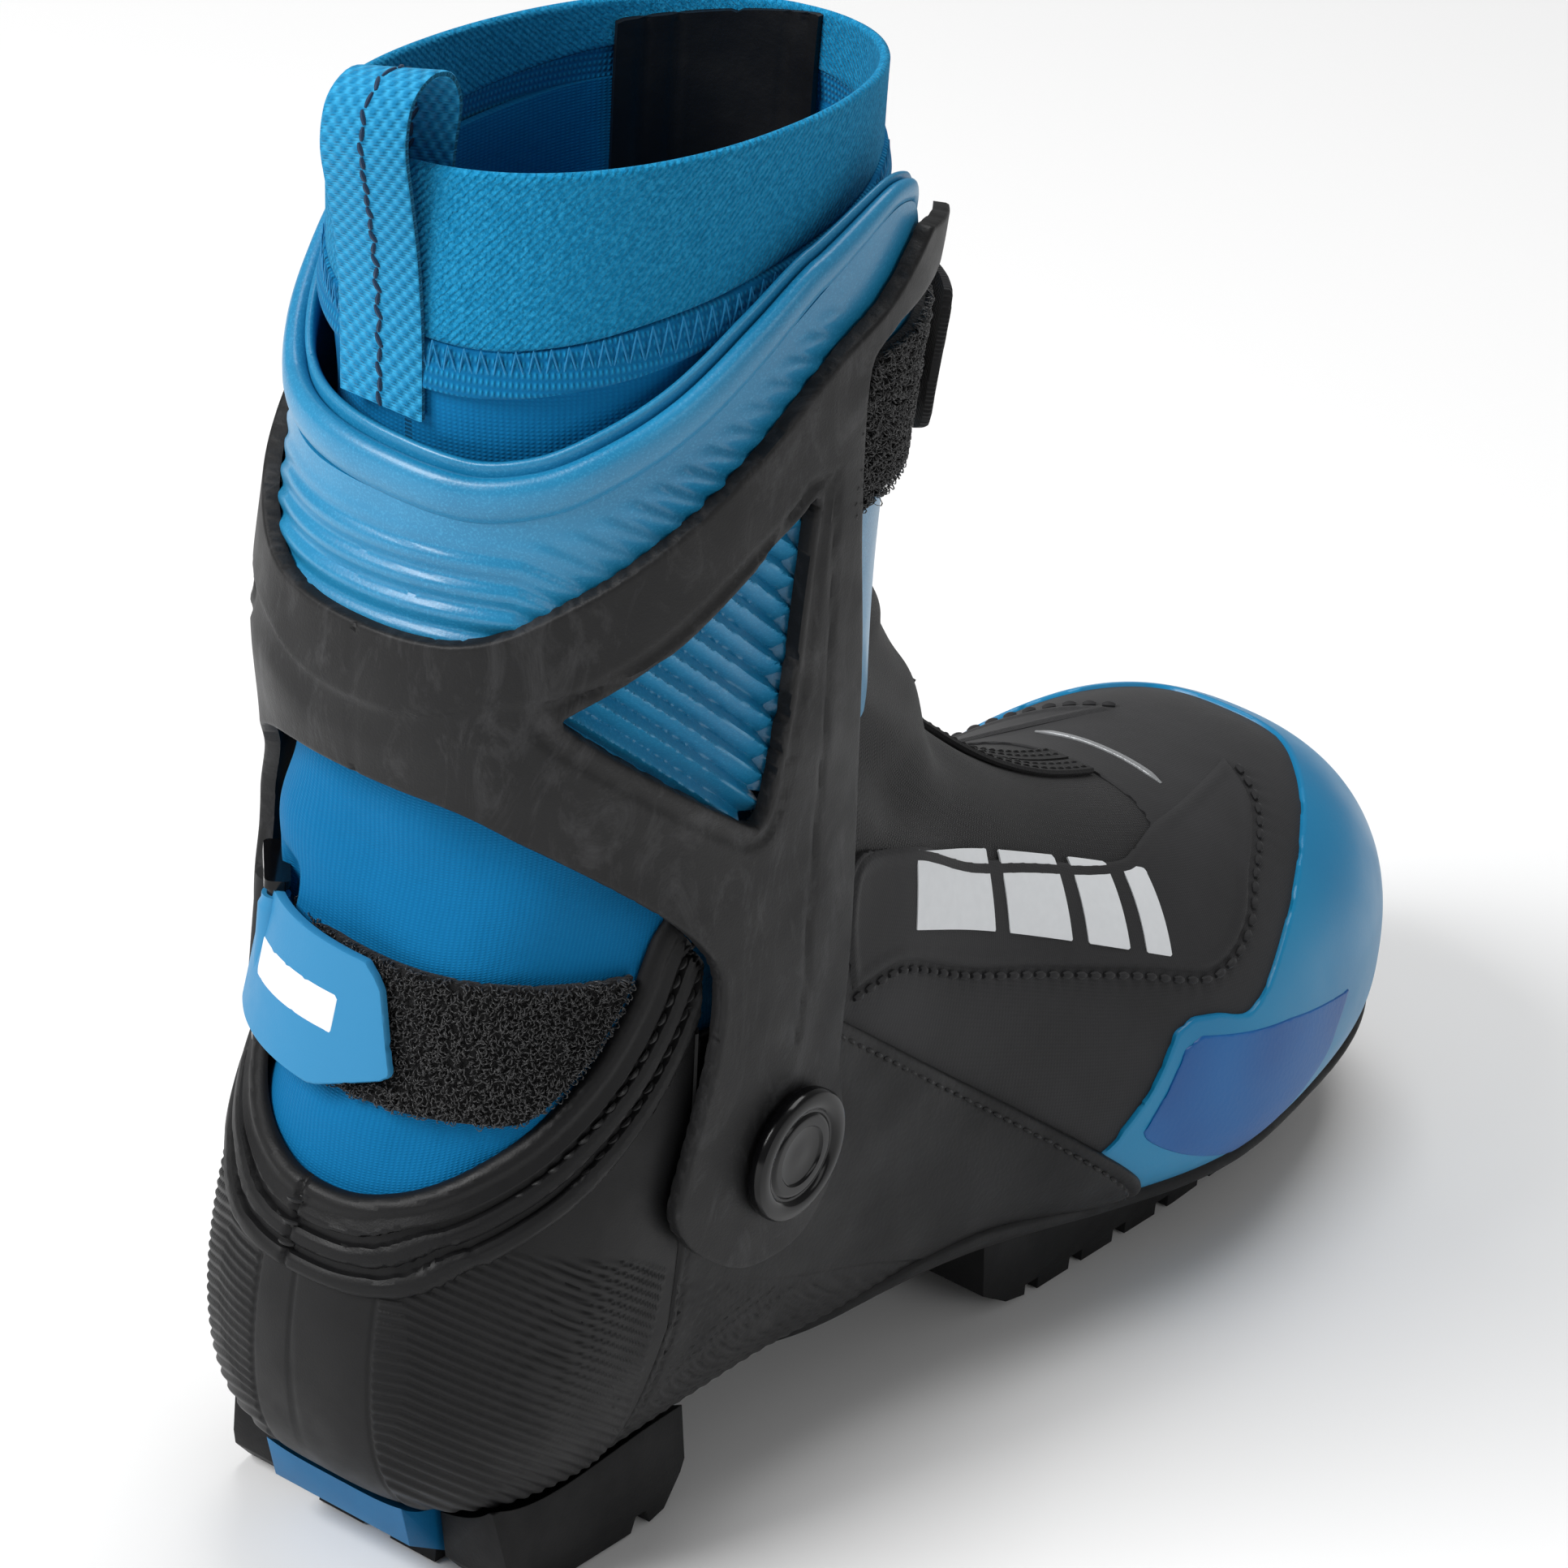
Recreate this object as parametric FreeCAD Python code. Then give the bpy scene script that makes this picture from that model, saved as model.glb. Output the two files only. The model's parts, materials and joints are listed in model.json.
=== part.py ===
"""Skating boot for cross country skiing, right foot, about EU size 42.

Design frame in millimetres: +X towards the toe, +Y towards the inner (medial) side, +Z up,
z = 0 on the floor and x = 0 near the back of the heel. The finished solids are shifted so that
the origin is the bottom centre of the whole boot.
"""
import FreeCAD, Part
import math
import os

V = FreeCAD.Vector

# ---- driving dimensions (mm) -------------------------------------------------------------
ORIGIN_SHIFT = V(-144.3, 0.9, 0)  # design frame to the boot's own frame
HALF_SPAN = 90.0                  # half width of every side-view cutting prism

SOFTSHELL = 1.8                   # wall of the outer fabric layer
BOOTIE_GAP = 0.2                  # air between fabric layers
BOOTIE = 1.8                      # wall of the inner bootie
SHELL_GAP = 0.4                   # air between fabric and plastic shells
CUP_WALL = 2.8                    # heel counter wall
SIDE_WALL = 1.8                   # side shell wall
SOLE_WALL = 3.0                   # outsole shell wall
TRIM_GAP = 0.2                    # air under bonded trim
TRIM = 0.8                        # thickness of bonded trim

CUFF_WALL = 2.8                   # cuff frame wall
LINER_GAP = 0.4                   # air between cuff frame and liner
LINER_WALL = 3.4                  # cuff liner foam

PIVOT_X = 66.0                    # cuff hinge line
PIVOT_Z = 78.0
POST_R = 5.0                      # pivot post
BORE_CLEARANCE = 0.05             # radial, post to leg bore and ring bar to sleeve
CAP_R = 12.0                      # pivot cap screw
CAP_H = 3.0
FLANGE_R = 9.0                    # inner flange of the pivot post
LEG_FACE = 45.2                   # flat outer face of both legs, from the middle plane
LEG_GAP = 0.4                     # air on either side of a leg

TOE_BAR_R = 1.8
TOE_BAR_X = 273.0
TOE_BAR_Z = 8.0
TOE_BAR_LENGTH = 30.0
TOE_BLOCK_HALF = 17.0
TOE_MIDDLE = 6.0                  # middle of the toe bar across the boot
TOE_GAP_HALF = 11.0               # free span of the bar, each side of the middle
TREAD_GROOVE = 8.0                # width of each binding guide groove
TREAD_STRIP = 16.0                # width of the strip between the grooves
TREAD_EDGE = 33.0                 # outer edge of the forefoot tread

RING_BAR_R = 1.6                  # bars of both strap rings
STRAP = 1.4                       # thickness of strap bands
TAB = 1.6                         # thickness of loose strap ends

# ---- shape of the foot and ankle ---------------------------------------------------------
# Each row is one section that fans from the toe, round the instep, up to the collar:
# top or front point x, z; bottom or rear point x, z; outer y; inner y; height of the widest
# point as a share; roundness of the upper half; roundness of the lower half.
FOOT_ROWS = [
    (293, 41, 293, 27, -2, 18, .50, 2.0, 2.0),
    (290, 54, 290, 21, -15, 30, .42, 2.2, 2.6),
    (281, 65, 281, 18, -28, 40, .36, 2.3, 2.8),
    (262, 74, 262, 15, -40, 47, .34, 2.3, 3.0),
    (235, 79, 235, 14, -48, 49, .32, 2.2, 3.0),
    (205, 85, 205, 13, -51, 47, .30, 2.1, 3.0),
    (178, 95, 172, 14, -46, 42, .30, 2.0, 2.8),
    (160, 107, 138, 16, -40, 38, .32, 1.9, 2.8),
    (148, 117, 98, 17, -37, 36, .36, 1.9, 3.2),
    (139, 127, 52, 17, -37, 37, .40, 2.0, 3.6),
    (132, 135, 12, 19, -37, 37, .42, 2.0, 3.4),
    (126, 142, -2, 47, -37, 37, .42, 2.0, 2.6),
    (120, 150, 0, 76, -36, 36, .44, 2.0, 2.2),
    (114, 162, 6, 106, -35, 35, .46, 2.1, 2.2),
    (109, 178, 10, 138, -35, 35, .48, 2.1, 2.2),
    (105, 200, 9, 172, -37, 37, .50, 2.1, 2.2),
    (102, 226, 5, 208, -37, 37, .50, 2.1, 2.2),
    (100, 261, -3, 259, -37, 37, .50, 2.1, 2.2),
    (99, 280, -5, 280, -37, 37, .50, 2.1, 2.2),
]
# Sections of the cuff's outer face, in the same form: front point, rear point and so on.
CUFF_ROWS = [
    (129, 40, 3, 40, -45.5, 45.5, .50, 2.4, 2.4),
    (127, 58, 1.5, 58, -45.3, 45.3, .50, 2.4, 2.4),
    (125, 76, 0, 76, -45, 45, .50, 2.4, 2.4),
    (122, 94, 0, 94, -44.5, 44.5, .50, 2.4, 2.4),
    (119, 112, 0, 112, -43.8, 44, .50, 2.4, 2.4),
    (116, 130, 1, 130, -43, 44.7, .50, 2.4, 2.3),
    (112.5, 148, 1, 148, -43, 45.8, .50, 2.4, 2.3),
    (110, 166, -2.5, 166, -43.5, 46.5, .50, 2.4, 2.3),
    (109, 184, -3, 184, -43.5, 46, .50, 2.4, 2.3),
    (109, 204, -4, 204, -44, 44.5, .50, 2.4, 2.3),
    (110, 224, -6, 224, -45, 45, .50, 2.4, 2.3),
    (111, 246, -8, 246, -46, 46, .50, 2.4, 2.3),
    (112, 270, -10, 270, -47, 47, .50, 2.4, 2.3),
]
SECTION_POINTS = 24

# ---- side-view outlines (x, z) -----------------------------------------------------------
CUFF_OUTLINE = [
    (-30, 181), (-3, 182), (10, 192), (30, 207), (55, 226), (68, 232), (80, 241), (96, 238),
    (90, 230), (72, 227), (65, 222), (69, 197), (76, 167), (81, 135), (82, 112), (81, 88),
    (84, 76), (81, 65), (72, 58), (58, 58), (47, 64), (41, 70), (39, 76), (42, 90), (45, 104),
    (45, 117), (40, 125), (31, 133), (23, 139), (10, 148), (0, 154), (-30, 155),
]
CUFF_WINDOW = [
    (54.5, 202), (40, 192), (11, 172), (25, 160), (50, 144), (53, 152), (54.5, 180),
]
LINER_TOP = [
    (-30, 204), (-2, 204), (6, 207), (16, 213), (27, 220), (40, 230), (56, 240), (70, 246), (78, 245),
    (83, 239), (87, 229), (93, 216), (104, 200),
]
COLLAR_RIM = [(130, 258), (80, 258), (30, 261), (-30, 262)]
LINER_BOTTOM = [(-30, 160), (8, 160), (24, 154), (48, 139), (62, 139), (84, 142), (104, 160)]
RIM_LINE = [
    (-30, 77), (-2, 77), (3, 81), (10, 87), (18, 94), (27, 104), (33, 114), (37, 124), (40, 128),
]
RIM_DEPTH = 12.0                  # height of the piped rim below its upper line
CUP_FRONT = [(46, 116), (46, 50), (38, 24), (36, 18.5)]
CUP_FLOOR = 18.5
SIDE_TOP = [(46.6, 104), (70, 100), (94, 87), (121, 68), (144, 52), (165, 37), (181, 24), (190, 17)]
SOLE_TOP = [
    (-30, 18), (40, 18), (70, 18), (90, 19), (112, 26), (136, 28.5), (160, 25), (184, 20),
    (220, 21), (262, 24), (320, 30),
]
VAMP_TOP = [
    (-30, 62), (60, 62), (86, 112), (102, 114), (142, 97), (166, 88), (186, 82), (203, 80),
    (208, 84), (214, 110), (340, 110),
]
GAITER_BACK_X = 76.0
GAITER_TOP = 176.0
SLEEVE_TOP = 170.0
TOE_BAND_BACK = [
    (165, 32), (172, 40), (178, 46), (184, 54), (204, 53), (211, 55), (221, 61), (239, 68),
    (257, 71), (268, 76), (272, 90),
]
TOE_INSET = [(181, 28), (186, 50), (191, 51.5), (217, 45), (236, 39), (228, 30), (205, 24)]
QUARTER = [
    (96, 92), (111, 92), (135, 82), (157, 74), (177, 68), (196, 62), (204, 63), (213, 67),
    (213, 71), (186, 79), (166, 85), (142, 94), (104, 111), (90, 106),
]
# y, z of a heel lug seen from behind
LUG_SECTION = [(15, -1), (31, -1), (31, 7), (28.5, 21), (15, 21)]
HEEL_LUG = [
    (16, 20), (20, 4), (24, 0), (53, 0), (54, 3), (56.5, 3), (58, 0), (62, 1), (67, 9), (67, 20),
]
HEEL_INSERT = [(8, 20), (12, 9), (22, 3.4), (48, 3.4), (60, 10), (60, 20)]
TREAD_PROFILE = [(150, 18), (152, 6), (160, 1.5), (168, 0), (214, 0), (236, 1.5), (256, 5), (258, 18)]
STRAP_BACK_Z = (95.0, 119.0)      # heel strap, lower and upper edge
CUFF_STRAP_Z = (194.0, 222.0)     # cuff strap at the side, lower and upper edge
LOOP_WIDTH = 17.0                 # pull loop webbing
LOOP_THICK = 1.4
LOOP_MIDDLE = (-0.8, 271.0)       # centre of the loop's arch, x and z
LOOP_RADIUS = 6.4
HEEL_RING = (10.8, 23.8)          # front bar of the heel strap ring, x and y
HEEL_RING_DIR = (0.74, 0.67)
RING_ROOM = 0.15                  # free space kept round a strap ring
CUFF_RING = (90.8, 39.0)
CUFF_RING_DIR = (-0.916, 0.401)
RING_DEPTH = 10.2
ZIP_TOP = (151.0, 10.0, 115.8)    # zip closed
ZIP_END = (178.0, 1.0, 97.0)      # end of the straight stretch of the zip
SLIDER_SIZE = (9.0, 6.0, 2.6)     # length, width, thickness
PULLER_SIZE = (11.0, 5.0, 1.2)
PULLER_PIN = (-2.6, 4.4)          # along the slider and above its base
PIN_R = 0.7


# ---- helpers -----------------------------------------------------------------------------
def polyline_face(points, y):
    """Flat face from (x, z) points in the plane of the given y."""
    corners = [V(x, y, z) for x, z in points]
    return Part.Face(Part.makePolygon(corners + [corners[0]]))


def prism(points, y_low=-HALF_SPAN, y_high=HALF_SPAN):
    """Side-view outline pushed across the boot."""
    return polyline_face(points, y_low).extrude(V(0, y_high - y_low, 0))


def box(x0, x1, y0, y1, z0, z1):
    return Part.makeBox(x1 - x0, y1 - y0, z1 - z0, V(x0, y0, z0))


def cylinder_y(x, z, y0, y1, radius):
    return Part.makeCylinder(radius, y1 - y0, V(x, y0, z), V(0, 1, 0))


def section(row, grow):
    """Closed section wire of one row in four arcs, pushed outwards by grow in its own plane."""
    top_x, top_z, low_x, low_z, y_out, y_in, share, n_top, n_low = row
    length = math.hypot(top_x - low_x, top_z - low_z)
    dir_x = (top_x - low_x) / length
    dir_z = (top_z - low_z) / length
    middle = (y_out + y_in) / 2
    half = (y_in - y_out) / 2 + grow
    wide = share * length
    points = []
    for i in range(SECTION_POINTS):
        angle = 2 * math.pi * i / SECTION_POINTS
        c = math.cos(angle)
        s = math.sin(angle)
        power = 2.0 / (n_top if c >= 0 else n_low)
        reach = abs(c) ** power
        along = wide + (length + grow - wide) * reach if c >= 0 else wide - (wide + grow) * reach
        across = middle - math.copysign(half * abs(s) ** power, s)
        points.append(V(low_x + dir_x * along, across, low_z + dir_z * along))
    curve = Part.BSplineCurve()
    curve.interpolate(Points=points, PeriodicFlag=True)
    quarter = SECTION_POINTS // 4
    stops = [curve.FirstParameter]
    stops += [curve.parameter(points[k * quarter]) for k in (1, 2, 3)]
    stops.append(curve.LastParameter)
    return Part.Wire([curve.toShape(stops[k], stops[k + 1]) for k in range(4)])


def skin(rows, grow, nose=False):
    """Solid through all sections, grown by grow; nose also moves the toe end forwards."""
    rows = [list(row) for row in rows]
    if nose:
        for index, part in ((0, 1.0), (1, 0.75), (2, 0.35)):
            rows[index][0] += grow * part
            rows[index][2] += grow * part
        if grow < -3:
            rows = rows[1:]
    return Part.makeLoft([section(row, grow) for row in rows], True, False)


_skins = {}


def foot_skin(grow):
    """Foot solid at an offset from the outer fabric face; made once per offset."""
    key = ("foot", grow)
    if key not in _skins:
        _skins[key] = skin(FOOT_ROWS, grow, nose=True)
    return _skins[key]


def foot_layer(inner, outer, outline, y_low=-HALF_SPAN, y_high=HALF_SPAN):
    """The part of the layer between two offsets that lies inside a side-view outline."""
    key = ("layer", inner, outer)
    if key not in _skins:
        _skins[key] = foot_skin(outer).cut(foot_skin(inner))
    return _skins[key].common(prism(outline, y_low, y_high))


def cuff_skin(grow):
    key = ("cuff", grow)
    if key not in _skins:
        _skins[key] = skin(CUFF_ROWS, grow)
    return _skins[key]


def cuff_layer(inner, outer, outline):
    layer = cuff_skin(outer).cut(cuff_skin(inner))
    return layer.common(prism(outline))


def band_below(line, floor=-30.0):
    """Side-view outline of everything under a line that runs from left to right."""
    return [(line[0][0], floor)] + line + [(line[-1][0], floor)]


def band_above(line, ceiling=330.0):
    return [(line[0][0], ceiling)] + line + [(line[-1][0], ceiling)]


def shifted(line, dx, dz):
    return [(x + dx, z + dz) for x, z in line]


def ring_frame(x, y, z0, z1, depth, direction, grow=0.0):
    """Strap ring: two round upright bars joined by flat end plates, depth along direction."""
    r = RING_BAR_R + grow
    ux, uy = direction
    turn = math.degrees(math.atan2(uy, ux))
    pieces = []
    for px, py in ((x, y), (x + ux * depth, y + uy * depth)):
        pieces.append(Part.makeCylinder(r, z1 - z0, V(px, py, z0), V(0, 0, 1)))
    for z in (z0 - 0.8, z1 - 0.8):
        edge = 2.2 + grow
        thick = 1.6 + 2 * grow
        plate = Part.makeBox(depth + 2 * edge, 2 * edge, thick, V(-edge, -edge, -grow))
        plate = plate.makeFillet(1.2, [e for e in plate.Edges if abs(e.Length - thick) < 0.01])
        plate.rotate(V(0, 0, 0), V(0, 0, 1), turn)
        plate.translate(V(x, y, z))
        pieces.append(plate)
    return pieces[0].multiFuse(pieces[1:])


def sleeve(x, y, z0, z1):
    """Tube that turns on a strap ring's bar."""
    outer = Part.makeCylinder(RING_BAR_R + 1.5, z1 - z0, V(x, y, z0), V(0, 0, 1))
    bore = Part.makeCylinder(RING_BAR_R + BORE_CLEARANCE, z1 - z0, V(x, y, z0), V(0, 0, 1))
    return outer, bore


PARTS = {}


def keep(name, shape):
    """Store a part as its solids, largest first, dropping specks under one cubic millimetre."""
    solids = sorted(shape.Solids, key=lambda s: -s.Volume)
    solids = [s for s in solids if s.Volume > 1.0]
    PARTS[name] = solids[0] if len(solids) == 1 else Part.makeCompound(solids)


def make_room(names, *tools):
    """Cut each named part back from the tools."""
    for name in names:
        shape = PARTS[name]
        for tool in tools:
            shape = shape.cut(tool)
        keep(name, shape)


# ---- sole --------------------------------------------------------------------------------
OUTSOLE_OUT = SHELL_GAP + SOLE_WALL


def make_sole():
    keep("outsole", foot_layer(SHELL_GAP, OUTSOLE_OUT, band_below(SOLE_TOP)))

    clear = foot_skin(OUTSOLE_OUT + 0.05)
    for side, y0, y1 in (("lateral", -31, -16.5), ("medial", 16.5, 31)):
        sign = -1 if y0 < 0 else 1
        corners = [V(0, sign * y, z) for y, z in LUG_SECTION]
        flank = Part.Face(Part.makePolygon(corners + corners[:1])).extrude(V(100, 0, 0))
        keep("heel_lug_" + side, prism(HEEL_LUG, y0, y1).common(flank).cut(clear))
    keep("heel_insert", prism(HEEL_INSERT, -15, 15).cut(clear))
    pads = [box(22, 46, y, y + 10, 0, 3.4) for y in (-13, 3)]
    keep("heel_tread_centre", Part.makeCompound(pads))

    inner = TREAD_STRIP / 2 + TREAD_GROOVE
    tread = {
        "forefoot_tread_lateral": (-TREAD_EDGE, -inner),
        "guide_strip": (-TREAD_STRIP / 2, TREAD_STRIP / 2),
        "forefoot_tread_medial": (inner, TREAD_EDGE),
    }
    for name, (y0, y1) in tread.items():
        pad = prism(TREAD_PROFILE, y0, y1).cut(clear)
        for x in range(166, 250, 14):
            pad = pad.cut(box(x, x + 4, y0 - 1, y1 + 1, -1, 2.5))
        keep(name, pad)


def make_toe_bar():
    half = TOE_BLOCK_HALF
    profile = [(262, 20), (262, 5), (265, 3.5), (283, 4.5), (287, 9), (287, 22)]
    block = prism(profile, TOE_MIDDLE - half, TOE_MIDDLE + half).cut(foot_skin(OUTSOLE_OUT + 0.05))
    gap = box(266.5, 290, TOE_MIDDLE - TOE_GAP_HALF, TOE_MIDDLE + TOE_GAP_HALF, 0, 11.6)
    bar_half = TOE_BAR_LENGTH / 2
    bar = cylinder_y(TOE_BAR_X, TOE_BAR_Z, TOE_MIDDLE - bar_half, TOE_MIDDLE + bar_half, TOE_BAR_R)
    keep("toe_bar_block", block.cut(gap).cut(bar))
    keep("toe_bar", bar)


def make_footbed():
    inner_face = -(SOFTSHELL + BOOTIE_GAP + BOOTIE)
    under = prism(band_below([(-30, 24), (60, 24), (130, 23), (175, 20), (240, 20), (320, 28)]))
    keep("insole", foot_skin(inner_face - 0.2).common(under))


# ---- shells ------------------------------------------------------------------------------
def make_heel_cup():
    rim_low = shifted(RIM_LINE, 0, -RIM_DEPTH)
    cup_outline = [(-30, CUP_FLOOR)] + rim_low + CUP_FRONT
    keep("heel_cup", foot_layer(SHELL_GAP, SHELL_GAP + CUP_WALL, cup_outline))
    rim_outline = RIM_LINE + [(46, 128), (46, 116)] + list(reversed(rim_low))
    keep("heel_cup_rim", foot_layer(SHELL_GAP, SHELL_GAP + CUP_WALL + 0.8, rim_outline))


def make_side_shells():
    outline = SIDE_TOP + list(reversed(shifted(SOLE_TOP[2:8], 0, 0.3)))
    outline += [(36.6, 18.5), (38.6, 24), (46.6, 50), (46.6, 104)]
    for side, y0, y1 in (("lateral", -HALF_SPAN, 0), ("medial", 0, HALF_SPAN)):
        keep(side + "_shell", foot_layer(SHELL_GAP, SHELL_GAP + SIDE_WALL, outline, y0, y1))


# ---- soft upper --------------------------------------------------------------------------
def make_upper():
    keep("softshell_vamp", foot_layer(-SOFTSHELL, 0, band_below(VAMP_TOP)))
    gaiter = [(GAITER_BACK_X, GAITER_TOP), (GAITER_BACK_X, 94)] + VAMP_TOP[2:9]
    gaiter += [(214, 130), (150, GAITER_TOP)]
    keep("instep_gaiter", foot_layer(-SOFTSHELL, 0, gaiter))
    sleeve_outline = [(-30, 62.1), (60, 62.1), (GAITER_BACK_X - 0.1, 94),
                      (GAITER_BACK_X - 0.1, SLEEVE_TOP), (-30, SLEEVE_TOP)]
    keep("ankle_sleeve", foot_layer(-SOFTSHELL, 0, sleeve_outline))

    bootie_out = -(SOFTSHELL + BOOTIE_GAP)
    bootie_outline = [(-30, 0), (-30, SLEEVE_TOP), (320, SLEEVE_TOP), (320, 0)]
    keep("inner_bootie", foot_layer(bootie_out - BOOTIE, bootie_out, bootie_outline))

    over = TRIM_GAP + TRIM
    band = TOE_BAND_BACK + [(330, 90), (330, 31), (262, 28), (220, 26), (184, 25)]
    keep("toe_band", foot_layer(TRIM_GAP, over, band))
    make_room(["toe_band"], PARTS["lateral_shell"], PARTS["medial_shell"])
    strip = [(217, 70), (221, 70), (221, 90), (217, 90)]
    keep("reflective_strip", foot_layer(TRIM_GAP, over, strip, -14, 16))
    for side, y0, y1 in (("lateral", -HALF_SPAN, 0), ("medial", 0, HALF_SPAN)):
        keep("toe_inset_" + side, foot_layer(over + 0.05, over + 0.5, TOE_INSET, y0, y1))
        keep("quarter_overlay_" + side, foot_layer(TRIM_GAP, over, QUARTER, y0, y1))


def make_tongue():
    outline = [(96, 165), (96, 118), (128, 104), (176, 84), (214, 74), (214, 110), (130, 165)]
    keep("tongue", foot_layer(-6.4, -4.0, outline, -22, 22))


def make_zip():
    outline = [(152, 100), (152, 120), (178, 104), (208, 94), (208, 78), (178, 86)]
    keep("zip_tape", foot_layer(TRIM_GAP, TRIM_GAP + TRIM, outline, -9, 15))
    along = V(*ZIP_END).sub(V(*ZIP_TOP)).normalize()
    tilt = FreeCAD.Rotation(V(1, 0, 0), along)
    long, wide, thick = SLIDER_SIZE
    body = Part.makeBox(long, wide, thick, V(-long / 2, -wide / 2, 0))
    body = body.makeFillet(0.8, [e for e in body.Edges if e.Length < 3])
    pin_x, pin_z = PULLER_PIN
    bridge = Part.makeBox(1.6, 2.4, 4.2, V(pin_x - 0.8, -1.2, 2.0))
    slot = cylinder_y(pin_x, pin_z, -2, 2, PIN_R + 0.05)
    slider = body.fuse(bridge).cut(slot)
    pin = cylinder_y(pin_x, pin_z, -1.9, 1.9, PIN_R)
    long, wide, thick = PULLER_SIZE
    plate = Part.makeBox(long, wide, thick, V(pin_x + 2.2, -wide / 2, pin_z - thick / 2))
    arms = [Part.makeBox(3.4, 0.9, 1.4, V(pin_x - 0.7, y, pin_z - 0.7)) for y in (-wide / 2, wide / 2 - 0.9)]
    puller = pin.multiFuse([plate] + arms)
    place = FreeCAD.Placement(V(*ZIP_TOP), tilt)
    for name, shape in (("zip_slider", slider), ("zip_puller", puller)):
        shape.Placement = place
        keep(name, shape)


def make_heel_strap():
    low, high = STRAP_BACK_Z
    band = [(-30, low), (17.0, low), (26.2, 105), (32.2, 115), (33.6, high), (-30, high)]
    back = foot_layer(0.3, 0.3 + STRAP, band)
    keep("heel_strap_band", back.common(box(-30, 60, -60, HEEL_RING[1] - 4.0, 0, 200)))

    x, y = HEEL_RING
    keep("heel_strap_ring", ring_frame(x, y, low - 2.4, high + 2.4, RING_DEPTH, HEEL_RING_DIR))
    snug = ring_frame(x, y, low - 2.4, high + 2.4, RING_DEPTH, HEEL_RING_DIR, BORE_CLEARANCE)
    around = ring_frame(x, y, low - 2.4, high + 2.4, RING_DEPTH, HEEL_RING_DIR, RING_ROOM)
    far_x = x + HEEL_RING_DIR[0] * RING_DEPTH
    far_y = y + HEEL_RING_DIR[1] * RING_DEPTH
    outer, bore = sleeve(far_x, far_y, low + 2, high - 2)
    tail = [(far_x, low + 2), (20.0, low + 2), (26.2, 105), (32.2, 115), (32.8, high - 2), (far_x, high - 2)]
    web = foot_layer(0.3, 0.3 + STRAP, tail, 20, 60)
    keep("heel_ring_webbing", web.fuse(outer).cut(bore))

    outer, bore = sleeve(x, y, low, high)
    tab = foot_layer(3.2, 3.2 + TAB, [(-30, low), (14, low), (14, high), (-30, high)], -13, y - 0.5)
    keep("heel_strap_tab", tab.fuse(outer).cut(bore).cut(snug))
    tube_r = RING_BAR_R + 1.5 + RING_ROOM
    tube_room = Part.makeCylinder(tube_r, high - low + 1, V(x, y, low - 0.5), V(0, 0, 1))
    far_room = Part.makeCylinder(tube_r, high - low + 1, V(far_x, far_y, low - 0.5), V(0, 0, 1))
    rooms = (around, tube_room, far_room, PARTS["heel_ring_webbing"])
    make_room(["heel_cup_rim", "ankle_sleeve"], *rooms)


# ---- cuff --------------------------------------------------------------------------------
def make_cuff():
    frame = cuff_layer(-CUFF_WALL, 0, CUFF_OUTLINE).cut(prism(CUFF_WINDOW))
    bore = cylinder_y(PIVOT_X, PIVOT_Z, -HALF_SPAN, HALF_SPAN, POST_R + BORE_CLEARANCE)
    keep("cuff_frame", frame.cut(bore))

    out = -(CUFF_WALL + LINER_GAP)
    outline = LINER_BOTTOM + list(reversed(LINER_TOP))
    liner = cuff_layer(out - LINER_WALL, out, outline)
    liner = liner.cut(foot_skin(SHELL_GAP)).cut(box(90, 140, -24, 24, 100, 300))
    keep("cuff_liner", liner)


def make_pivots():
    shell_face = foot_skin(SHELL_GAP + CUP_WALL + 0.8)
    cap_in = LEG_FACE + LEG_GAP
    leg_in = LEG_FACE - CUFF_WALL - 2 * LEG_GAP
    for side, sign in (("lateral", -1), ("medial", 1)):
        def disc(y0, y1, radius):
            low, high = sorted((sign * y0, sign * y1))
            return cylinder_y(PIVOT_X, PIVOT_Z, low, high, radius)
        post = disc(30, cap_in, POST_R).fuse(disc(30, leg_in, FLANGE_R))
        keep("pivot_post_" + side, post.cut(shell_face))
        cap = disc(cap_in, cap_in + CAP_H, CAP_R).cut(disc(cap_in + CAP_H - 0.8, cap_in + CAP_H, CAP_R - 4))
        edge = [e for e in cap.Edges if abs(e.BoundBox.XLength - 2 * CAP_R) < 0.1
                and abs(abs(e.BoundBox.Center.y) - cap_in - CAP_H) < 0.1]
        keep("pivot_cap_" + side, cap.makeFillet(0.9, edge))


def make_collar():
    hem = [(-30, 222), (0, 222), (12, 226), (36, 232), (67, 239), (130, 246)]
    joint = [(-30, SLEEVE_TOP + 0.3), (GAITER_BACK_X, SLEEVE_TOP + 0.3),
             (GAITER_BACK_X, GAITER_TOP + 0.3), (130, GAITER_TOP + 0.3)]
    keep("upper_sleeve", foot_layer(-SOFTSHELL, 0, joint + list(reversed(hem))))
    keep("knit_collar", foot_layer(-SOFTSHELL, 0, hem + COLLAR_RIM))
    panel = [(70, 200), (130, 200), (130, 263), (70, 263)]
    keep("collar_panel", foot_layer(-SOFTSHELL - 1.4, -SOFTSHELL - 0.2, panel, -8, 30))


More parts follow.
